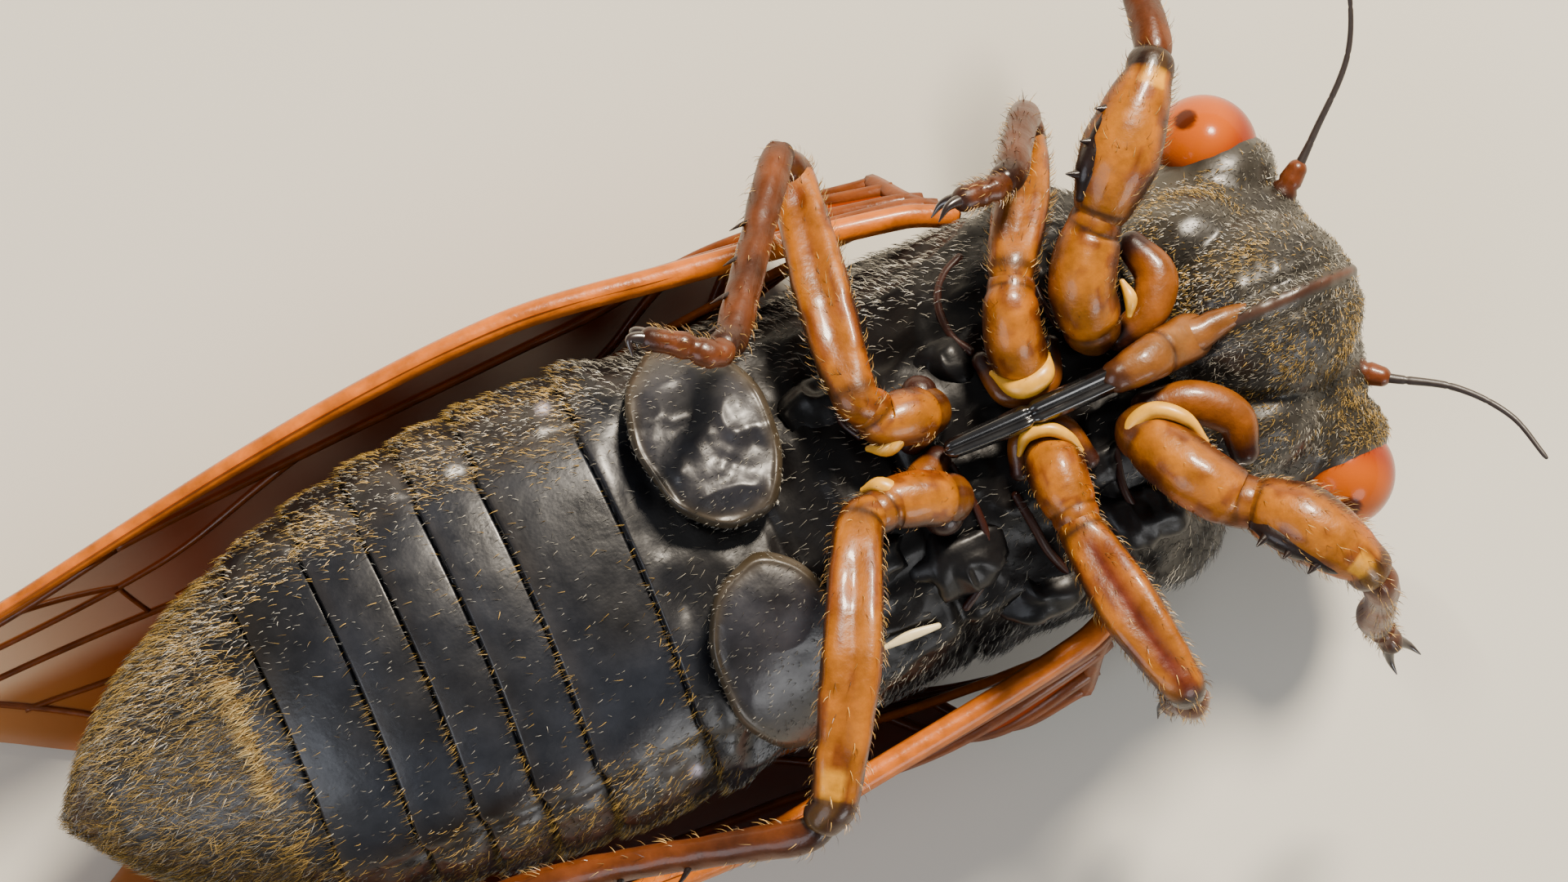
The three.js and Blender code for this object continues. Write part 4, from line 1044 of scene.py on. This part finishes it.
def make_operculum(name, materials):
    """A domed black plate with a thick rolled rim, wrinkled like old leather."""
    centre_x, centre_y, turn = OPERCULA[name]
    # Rings run from the middle of the outer face over the rim and under it.
    tilt = np.linspace(0, np.pi / 2, OPERCULUM_RINGS)
    reach = np.sin(np.linspace(0.02, np.pi / 2, OPERCULUM_RINGS))
    r, angle = np.meshgrid(np.concatenate([reach, reach[::-1]]), turns(OPERCULUM_COLUMNS), indexing="ij")
    height = np.concatenate([np.cos(tilt), 0 * tilt])[:, None]
    wavy = 1 + 0.015 * np.sin(5 * angle + 1) + 0.01 * np.sin(9 * angle)
    u = r * np.cos(angle) * OPERCULUM_HALF_LENGTH * wavy
    v = r * np.sin(angle) * OPERCULUM_HALF_WIDTH * wavy
    x = centre_x + u * math.cos(turn) - v * math.sin(turn)
    y = centre_y + u * math.sin(turn) + v * math.cos(turn)
    dome = height**0.45
    lift = OPERCULUM_LOW + (OPERCULUM_HIGH - OPERCULUM_LOW) * dome
    place = np.stack([x, y, 0 * x], axis=-1)
    folds = 1 - 2 * np.abs(soft_noise(place, 0.8, 31)) + 0.5 * soft_noise(place, 0.25, 32)
    relief = (0.05 * bump(r, 0.93, 0.04) + OPERCULUM_WRINKLES[name] * folds) * (height > 0)
    grid = np.stack([x, y, trunk_height(x, y) + lift + relief], axis=-1)
    outward = grid_normals(grid, dome[..., None] * (0, 0, 1))
    tint = stained(linear("#131113"), "#2a2a30", 0.7 * clouds(grid, 0.7, 33))
    tint = stained(tint, "#4a3d22", 0.45 * smooth_step(r, 0.75, 1.0))
    node = f"operculum_{name}"
    make_tubes(f"{node}_plate", (node,), materials["shell"], [grid], [tint])
    return grid[:OPERCULUM_RINGS], outward[:OPERCULUM_RINGS]


# Wings: a clear film on the roof that the folded wings form, with its veins as tubes
COSTA_Y = profile([
    (2.0, 3.95), (0.9, 4.4), (-3.9, 5.1), (-7, 5.45), (-11.5, 5.15), (-17.8, 4.2), (-23, 3.4),
    (WING_APEX_X, 2.6),
])
COSTA_Z = profile([
    (2.0, 3.9), (0.9, 4.3), (-3.9, 5.3), (-7, 5.8), (-11.5, 5.9), (-17.8, 5.2), (-23, 4.2),
    (WING_APEX_X, 3.2),
])
INNER_Y = profile([
    (0.6, 3.2), (-2, 2.4), (-4, 1.6), (-6, 0.85), (-9, 0.45), (WING_ANGLE_X, 0.35), (WING_APEX_X, 0.35),
])
ROOF_BULGE = (0.55, -2.3)
ROOF_REACH = 2.0
ROOF_STEP = 0.02
FILM_GRID = (130, 70)
VEIN_SIDES = 8
VEIN_SPACING = 0.16


def roof_point(x, s):
    """The middle of a folded wing at station x, at share s of the way from its front edge inwards."""
    level = WING_SOLID_THICKNESS / 2
    strip = INNER_Y(x) + WING_STRIP_WIDTH
    t = np.clip(s / WING_STRIP_SHARE, 0, 1)
    flat = np.clip((s - WING_STRIP_SHARE) / (1 - WING_STRIP_SHARE), 0, 1)
    weights = (1 - t) ** 3, 3 * (1 - t) ** 2 * t, 3 * (1 - t) * t**2, t**3
    ys = COSTA_Y(x), COSTA_Y(x) + ROOF_BULGE[0], strip + ROOF_REACH, strip
    zs = COSTA_Z(x), COSTA_Z(x) + ROOF_BULGE[1], level, level
    y, z = [sum(w * v for w, v in zip(weights, values)) for values in (ys, zs)]
    return np.stack([x + 0 * y, y - flat * WING_STRIP_WIDTH, z], axis=-1)


def roof_normal(x, s):
    along = roof_point(x + ROOF_STEP, s) - roof_point(x - ROOF_STEP, s)
    across = roof_point(x, np.minimum(1, s + ROOF_STEP)) - roof_point(x, np.maximum(0, s - ROOF_STEP))
    return unit(np.cross(along, across))


def forewing_edges(a, b):
    """The four edges of the fore wing as (x, s) places: root, front, inner and outer."""
    inner_x = mix(0.6, WING_ANGLE_X, a)
    return (
        (mix(1.9, 0.6, b), 0.32 * b),
        (mix(1.9, WING_APEX_X, a), 0 * a),
        (inner_x, mix(0.32, 1, smooth_step(0.6 - inner_x, 0, 4.6))),
        (mix(WING_APEX_X, WING_ANGLE_X, b**1.5), b),
    )


def hindwing_edges(a, b):
    """The same for the hind wing."""
    return (
        (mix(0.2, -1.2, b), mix(0.34, 0.58, b)),
        (mix(0.2, -15, a), mix(0.34, 0.45, a)),
        (mix(-1.2, -10.5, a), mix(0.58, 0.97, np.minimum(1, a * 1.6))),
        (mix(-15, -10.5, b**1.5), mix(0.45, 0.97, b)),
    )


def patch_place(edges, a, b):
    """A place on the wing as (x, s), from its share a from root to tip and b from front to back."""
    a, b = np.asarray(a, float), np.asarray(b, float)
    root, front, inner, outer = edges(a, b)
    corner = {(row, end): edges(a, 0 * b + end)[row] for row in (0, 3) for end in (0, 1)}
    return [
        mix(front[i], inner[i], b) + mix(root[i], outer[i], a)
        - mix(mix(corner[0, 0][i], corner[0, 1][i], b), mix(corner[3, 0][i], corner[3, 1][i], b), a)
        for i in (0, 1)
    ]


def wing_points(edges, side, a, b, outward):
    """Points on a wing in millimetres, moved outwards from its middle."""
    x, s = patch_place(edges, a, b)
    return (roof_point(x, s) + roof_normal(x, s) * outward) * (1, side, 1)


# Veins as rows of (share from root to tip, share from front to back, radius in millimetres)
FOREWING_VEINS = (
    [(0.0, 0.03, 0.24), (0.1, 0.03, 0.25), (0.35, 0.03, 0.24), (0.62, 0.025, 0.17), (0.8, 0.025, 0.1),
     (1.0, 0.03, 0.08)],
    [(0.0, 0.25, 0.22), (0.12, 0.14, 0.17), (0.35, 0.11, 0.13), (0.56, 0.1, 0.1), (0.62, 0.04, 0.09)],
    [(0.0, 0.4, 0.2), (0.14, 0.36, 0.14), (0.3, 0.36, 0.1), (0.5, 0.34, 0.09), (0.64, 0.3, 0.08)],
    [(0.14, 0.36, 0.12), (0.3, 0.56, 0.09), (0.52, 0.6, 0.08), (0.66, 0.64, 0.08)],
    [(0.0, 0.7, 0.18), (0.2, 0.78, 0.12), (0.45, 0.86, 0.09), (0.68, 0.92, 0.08)],
    [(0.0, 0.95, 0.16), (0.3, 0.975, 0.1), (0.7, 0.98, 0.07), (0.93, 0.96, 0.07)],
    [(0.93, 0.02, 0.07), (0.925, 0.3, 0.07), (0.92, 0.6, 0.07), (0.93, 0.96, 0.07)],
    [(0.56, 0.1, 0.09), (0.68, 0.13, 0.07), (0.93, 0.14, 0.06)],
    [(0.64, 0.3, 0.08), (0.76, 0.24, 0.07), (0.93, 0.26, 0.06)],
    [(0.64, 0.3, 0.08), (0.78, 0.38, 0.07), (0.93, 0.38, 0.06)],
    [(0.5, 0.34, 0.09), (0.66, 0.48, 0.07), (0.93, 0.5, 0.06)],
    [(0.66, 0.64, 0.08), (0.8, 0.62, 0.07), (0.93, 0.62, 0.06)],
    [(0.66, 0.64, 0.08), (0.8, 0.76, 0.07), (0.93, 0.75, 0.06)],
    [(0.52, 0.6, 0.08), (0.68, 0.8, 0.07), (0.93, 0.87, 0.06)],
    [(0.68, 0.13, 0.07), (0.7, 0.26, 0.06)],
    [(0.74, 0.36, 0.07), (0.7, 0.49, 0.06)],
    [(0.7, 0.49, 0.06), (0.73, 0.62, 0.06)],
    [(0.72, 0.68, 0.06), (0.7, 0.81, 0.06)],
    [(0.0, 0.04, 0.24), (0.01, 0.4, 0.2), (0.0, 0.97, 0.2)],
)
HINDWING_VEINS = (
    [(0.0, 0.02, 0.1), (0.5, 0.02, 0.08), (1.0, 0.03, 0.06)],
    [(0.0, 0.3, 0.1), (0.4, 0.25, 0.07), (0.9, 0.3, 0.06)],
    [(0.0, 0.5, 0.1), (0.4, 0.55, 0.07), (0.9, 0.6, 0.06)],
    [(0.0, 0.8, 0.1), (0.4, 0.8, 0.07), (0.9, 0.9, 0.06)],
    [(0.9, 0.03, 0.06), (0.9, 0.5, 0.06), (0.9, 0.95, 0.06)],
)


def vein_grid(edges, side, row, outward):
    """Rings of one vein along its row of places."""
    places = wing_points(edges, side, *np.array(row).T[:2], outward)
    at, length = smooth_path(row, places)
    a, b, radius = at(np.linspace(0, 1, max(4, int(length / VEIN_SPACING)))).T
    centres = wing_points(edges, side, a, b, outward)
    tangent = unit(np.gradient(centres, axis=0))
    across = unit(np.cross((0.3, 0.2, 1.0), tangent))
    angle = turns(VEIN_SIDES)[:, None]
    ring = across[:, None] * np.cos(angle) + np.cross(tangent, across)[:, None] * np.sin(angle)
    return centres[:, None] + ring * radius[:, None, None]


def film_tint_and_shadow(points):
    """Rusty, nearly solid painted shadow at the root, clear amber towards the tip; the last number is how
    solid it is.
    """
    clear = smooth_step(-points[..., 0], 14.0, 24.0)
    # Painted shadow: the root is dark rust and nearly solid; the amber towards the tip is the film's own
    # tint.
    solid = 0.97 - 0.37 * clear + 0.03 * clouds(points, 1.5, 42)
    return np.concatenate([stained(linear("#7a2c04"), "#c8883a", clear), solid[..., None]], axis=-1)


# For each kind of wing its edges, its veins and how far outwards it lies from the middle of the roof
WINGS = {
    "forewing": (forewing_edges, FOREWING_VEINS, 0.05),
    "hindwing": (hindwing_edges, HINDWING_VEINS, -HINDWING_INSET),
}


def make_wing(kind, name, materials):
    """The film and the veins of one wing."""
    node = f"{kind}_{name}"
    edges, rows, outward = WINGS[kind]
    a, b = np.meshgrid(*[np.linspace(0, 1, count) for count in FILM_GRID], indexing="ij")
    film = wing_points(edges, SIDES[name], a, b, outward)
    film[..., 2] += 0.025 * soft_noise(film, 1.2, 41)
    film = film.reshape(-1, 3)
    make_piece(f"{node}_film", (node,), materials["membrane"], film, grid_faces(*FILM_GRID),
               film_tint_and_shadow(film))
    # The thick vein along the front edge is the brightest.
    grids = [vein_grid(edges, SIDES[name], row, outward) for row in rows]
    tints = [linear("#b45c04")] + [linear("#6e3404")] * (len(rows) - 1)
    make_tubes(f"{node}_veins", (node,), materials["leg"], grids, tints)


# Down: fine bristles as bent, tapered needles that stand on the skins and lie along the body
NEEDLE_SIDES = 3
NEEDLE_POINTS = 2 * NEEDLE_SIDES + 1
UNWRAP_PATCH = 0.0015
UNWRAP_MARGIN = 0.01
ROOT_DEPTH = 0.02
# How far single hairs differ from the middle values of their coat
LENGTH_RANGE = (0.65, 1.3)
RADIUS_RANGE = (0.8, 1.2)
RISE_RANGE = (0.5, 1.5)
# Each kind of hair runs from a dark shade to a bright one, most of them nearer the dark one
DARK_BIAS = 1.9
GOLD = ("#2e230f", "#c9a352")
GREY = ("#2b2a28", "#b4ae9f")
STRAW = ("#3f220c", "#dcb063")
CREAM = ("#6e5222", "#ecd08c")


def scatter(grid, outward, cover, count):
    """Roots drawn over a skin by how thick the down grows: places, normals and places on its unwrap."""
    corner = grid[:-1, :-1]
    down, across = grid[1:, :-1] - corner, grid[:-1, 1:] - corner
    weight = np.linalg.norm(np.cross(down, across), axis=-1) * cover[:-1, :-1]
    chosen = RANDOM.choice(weight.size, count, p=weight.ravel() / weight.sum())
    row, column = np.unravel_index(chosen, weight.shape)
    u, v = RANDOM.random((2, count))
    places = corner[row, column] + u[:, None] * down[row, column] + v[:, None] * across[row, column]
    unwrap = np.stack([(row + u) / grid.shape[0], (column + v) / grid.shape[1]], axis=1)
    return places, outward[row, column], UNWRAP_MARGIN + (1 - 2 * UNWRAP_MARGIN) * unwrap


def needles(roots, normals, along, lengths, radii, rise):
    """Points and faces of one needle for each root: it leaves the skin at a slope and bends along it."""
    along = unit(along - normals * (along * normals).sum(1, keepdims=True))
    side = np.cross(normals, along)
    lengths, radii, rise = lengths[:, None], radii[:, None], rise[:, None]
    start = roots - normals * ROOT_DEPTH
    middle = roots + unit(normals * rise + along) * lengths * 0.5
    points = np.empty((len(roots), NEEDLE_POINTS, 3))
    points[:, -1] = middle + unit(normals * rise * 0.45 + along) * lengths * 0.5
    pattern = []
    for k, turn in enumerate(turns(NEEDLE_SIDES)):
        offset = (side * math.cos(turn) + normals * math.sin(turn)) * radii
        points[:, k] = start + offset
        points[:, NEEDLE_SIDES + k] = middle + offset * 0.75
        after = (k + 1) % NEEDLE_SIDES
        pattern.insert(k, (k, after, NEEDLE_SIDES + after, NEEDLE_SIDES + k))
        pattern.append((NEEDLE_SIDES + k, NEEDLE_SIDES + after, NEEDLE_POINTS - 1))
    faces = []
    for face in pattern:
        faces += (np.array(face) + NEEDLE_POINTS * np.arange(len(roots))[:, None]).tolist()
    return points.reshape(-1, 3), faces


def grow(skin, material, slot, name, nodes, cover, count, length, radius, rise, shades, spread=0.35,
         lean=(-1, 0, 0)):
    """One coat of needles over a skin; length, radius and rise are middle values in millimetres."""
    roots, normals, unwrap = scatter(*skin, cover, count)
    count = len(roots)
    along = lean + RANDOM.normal(0, spread, (count, 3))
    lengths = length * RANDOM.uniform(*LENGTH_RANGE, count)
    radii = radius * RANDOM.uniform(*RADIUS_RANGE, count)
    points, faces = needles(roots, normals, along, lengths, radii, rise * RANDOM.uniform(*RISE_RANGE, count))
    points[:, 2] = np.maximum(points[:, 2], 0.0)
    tint = stained(linear(shades[0]), shades[1], RANDOM.random(count) ** DARK_BIAS)
    # Each needle has a small patch of the unwrap round its root's place.
    patch = UNWRAP_PATCH * np.stack([np.cos(turns(NEEDLE_POINTS)), np.sin(turns(NEEDLE_POINTS))], axis=1)
    make_piece(
        name, nodes, material, points, faces, np.repeat(tint, NEEDLE_POINTS, axis=0),
        (unwrap[:, None] + patch).reshape(-1, 2), smooth=False,
    )


def trunk_coats(skin, down):
    """Gold and grey down on the tail and the rings, grey on the chest, and a cream band by the tail."""
    x, y, z = np.moveaxis(skin[0], -1, 0)
    patches = clouds(skin[0], 0.7, 51)
    off_floor = smooth_step(z, 0.5, 1.5)
    tail = smooth_step(-x, 13.3, 14.6) * off_floor
    abdomen = smooth_step(-x, 5.6, 6.4)
    rings = abdomen * (1 - smooth_step(-x, 13.3, 14.6)) * off_floor
    sides = smooth_step(np.abs(y + 0.2), 2.4, 3.6)
    margin = smooth_step(ring_share(x, y)[0], 0.88, 0.97) * smooth_step(-y, -2.6, 2.0)
    chest = (1 - abdomen) * off_floor * (0.2 + sides + 0.6 * patches**2)
    band = bump(x, -14.3, 0.1) * smooth_step(1.4 - np.abs(y - 0.15), 0.0, 0.3) * smooth_step(z, 5.5, 6.5)
    borders = rings * (sides * patches**2 + 0.3 * margin + 0.012)
    # Name, nodes, cover, number, length, radius, rise and shades; the band is ruffled less than the rest.
    for row in (
        ("tail_down_gold", ABDOMEN[2:], tail * (0.25 + 0.75 * patches), 13000, 0.31, 0.007, 0.6, GOLD),
        ("tail_down_grey", ABDOMEN[2:], tail, 5000, 0.28, 0.0075, 0.6, GREY),
        ("ring_down_gold", ABDOMEN[:3], borders, 11000, 0.22, 0.0072, 0.6, GOLD),
        ("ring_down_grey", ABDOMEN[:3], rings * (0.3 + sides), 8000, 0.13, 0.007, 0.5, GREY),
        ("chest_down", THORAX, chest, 12000, 0.22, 0.0072, 0.7, GREY),
        ("tail_band", ABDOMEN[2:], band, 420, 0.4, 0.011, 0.6, CREAM, 0.25),
    ):
        grow(skin, down, "black_shell", *row)


def head_coats(skin, down):
    """Gold and grey down on the face, off the eyes and the bare keel."""
    z = skin[0][..., 2]
    aside = np.abs(skin[0][..., 1] - FACE_MIDLINE_Y)
    patches = clouds(skin[0], 0.8, 52)
    clear_of_eyes = smooth_step(np.abs(skin[0][..., 1]), 3.15, 2.95)
    front = smooth_step(z, 1.6, 3.2) * clear_of_eyes * smooth_step(aside, 0.06, 0.16)
    beside_keel = 1.2 * bump(aside, 0.35, 0.25) * smooth_step(z, 5.0, 6.0)
    grey = front * (1 - 0.7 * patches + beside_keel)
    nodes = ("head", "postclypeus")
    for row in (
        ("face_down_gold", nodes, front * patches**3, 8000, 0.15, 0.0078, 0.5, GOLD, 0.5),
        ("face_down_grey", nodes, grey, 9500, 0.14, 0.0075, 0.45, GREY, 0.5),
    ):
        grow(skin, down, "black_shell", *row)


LEG_BRISTLES = {"coxa": (90, 0.16), "femur": (360, 0.22), "tibia": (160, 0.24), "tarsus": (130, 0.2)}


def leg_coats(leg, skins, down):
    """Straw-coloured bristles, thickest along the two edges of each piece and at its ends."""
    for piece, (count, length) in LEG_BRISTLES.items():
        grid, outward, share, angle = skins[piece]
        along = unit(np.subtract(LEGS[leg][piece][-1][:3], LEGS[leg][piece][0][:3]))
        off_edge = np.abs(angle - np.pi)
        edges = 0.2 + bump(off_edge, 0.2, 0.4) + bump(off_edge, np.pi - 0.2, 0.4)
        knees = 0.4 * smooth_step(share, 0.8, 1.0) + 0.4 * smooth_step(share, 0.15, 0.0)
        cover = (edges + knees) * (share > 0.01) * (share < 0.99)
        node = f"leg_{leg}_{piece}"
        skin = (grid, outward)
        grow(skin, down, LEG_SLOTS[piece], f"{node}_bristles", (node,), cover, count, length, 0.0078, 0.9,
             STRAW, 0.25, along)


def make_insect():
    """Every piece of the insect, the larger ones first, and then the down on them."""
    materials = make_materials()
    down = materials["down"]
    trunk = make_trunk(materials)
    head = make_head(materials)
    for name, side in SIDES.items():
        make_eye(name, side, materials)
        make_feeler(name, materials)
        plate = make_operculum(name, materials)
        node = f"operculum_{name}"
        cover = np.ones(plate[0].shape[:2])
        grow(plate, down, "black_shell", f"{node}_down", (node,), cover, 500, 0.12, 0.0072, 0.5, GREY)
        make_wing("forewing", name, materials)
        make_wing("hindwing", name, materials)
    make_beak(materials)
    make_sockets(materials)
    make_thorax_plates(materials)
    trunk_coats(trunk, down)
    head_coats(head, down)
    for leg in LEGS:
        leg_coats(leg, make_leg(leg, materials), down)


# Stage: floor, light and the photograph's view, straight down on the belly
VIEW_CENTRE = Vector((-2.86, 1.38, 8.0)) * MM
VIEW_TURN = -math.radians(23.0)
VIEW_WIDTH = 29.7 * MM
VIEW_DISTANCE = 190 * MM
SENSOR = 36.0
FLOOR_HALF_SIZE = 0.6
FLOOR_DROP = 0.02 * MM
ROOM_LIGHT = 0.3


def place_camera():
    data = bpy.data.cameras.new("camera")
    data.sensor_width = SENSOR
    data.lens = SENSOR * VIEW_DISTANCE / VIEW_WIDTH
    data.clip_start = 0.005
    data.clip_end = 5.0
    camera = bpy.data.objects.new("camera", data)
    camera.location = VIEW_CENTRE + Vector((0, 0, VIEW_DISTANCE))
    camera.rotation_euler = (0, 0, VIEW_TURN)
    bpy.context.scene.collection.objects.link(camera)
    bpy.context.scene.camera = camera


def area_light(name, place_mm, size_mm, power, colour):
    data = bpy.data.lights.new(name, "AREA")
    data.shape = "DISK"
    data.size = size_mm * MM
    data.energy = power
    data.color = linear(colour)
    light = bpy.data.objects.new(name, data)
    light.location = Vector(place_mm) * MM
    light.rotation_euler = (-light.location).to_track_quat("-Z", "Y").to_euler()
    bpy.context.scene.collection.objects.link(light)


def make_stage():
    """A pale paper floor, a soft white room and three lamps."""
    mesh = bpy.data.meshes.new("floor")
    corners = [(x * FLOOR_HALF_SIZE, y * FLOOR_HALF_SIZE, -FLOOR_DROP) for x in (-1, 1) for y in (-1, 1)]
    mesh.from_pydata(corners, [], [(0, 2, 3, 1)])
    floor = bpy.data.objects.new("floor", mesh)
    bpy.context.scene.collection.objects.link(floor)
    paper = new_material("matt_paper")
    mesh.materials.append(finish(paper, {"Base Color": (*linear("#c4c0b5"), 1.0), "Roughness": 0.85}))

    world = bpy.data.worlds.new("soft_room")
    world.use_nodes = True
    background = world.node_tree.nodes["Background"]
    background.inputs["Color"].default_value = (1.0, 1.0, 1.0, 1.0)
    background.inputs["Strength"].default_value = ROOM_LIGHT
    bpy.context.scene.world = world

    area_light("key", (85, 90, 115), 34, 0.95, "#fff1dc")
    area_light("fill", (-130, -40, 120), 120, 0.16, "#eef4ff")
    area_light("rim", (40, -150, 60), 80, 0.12, "#ffffff")


make_insect()
make_stage()
place_camera()
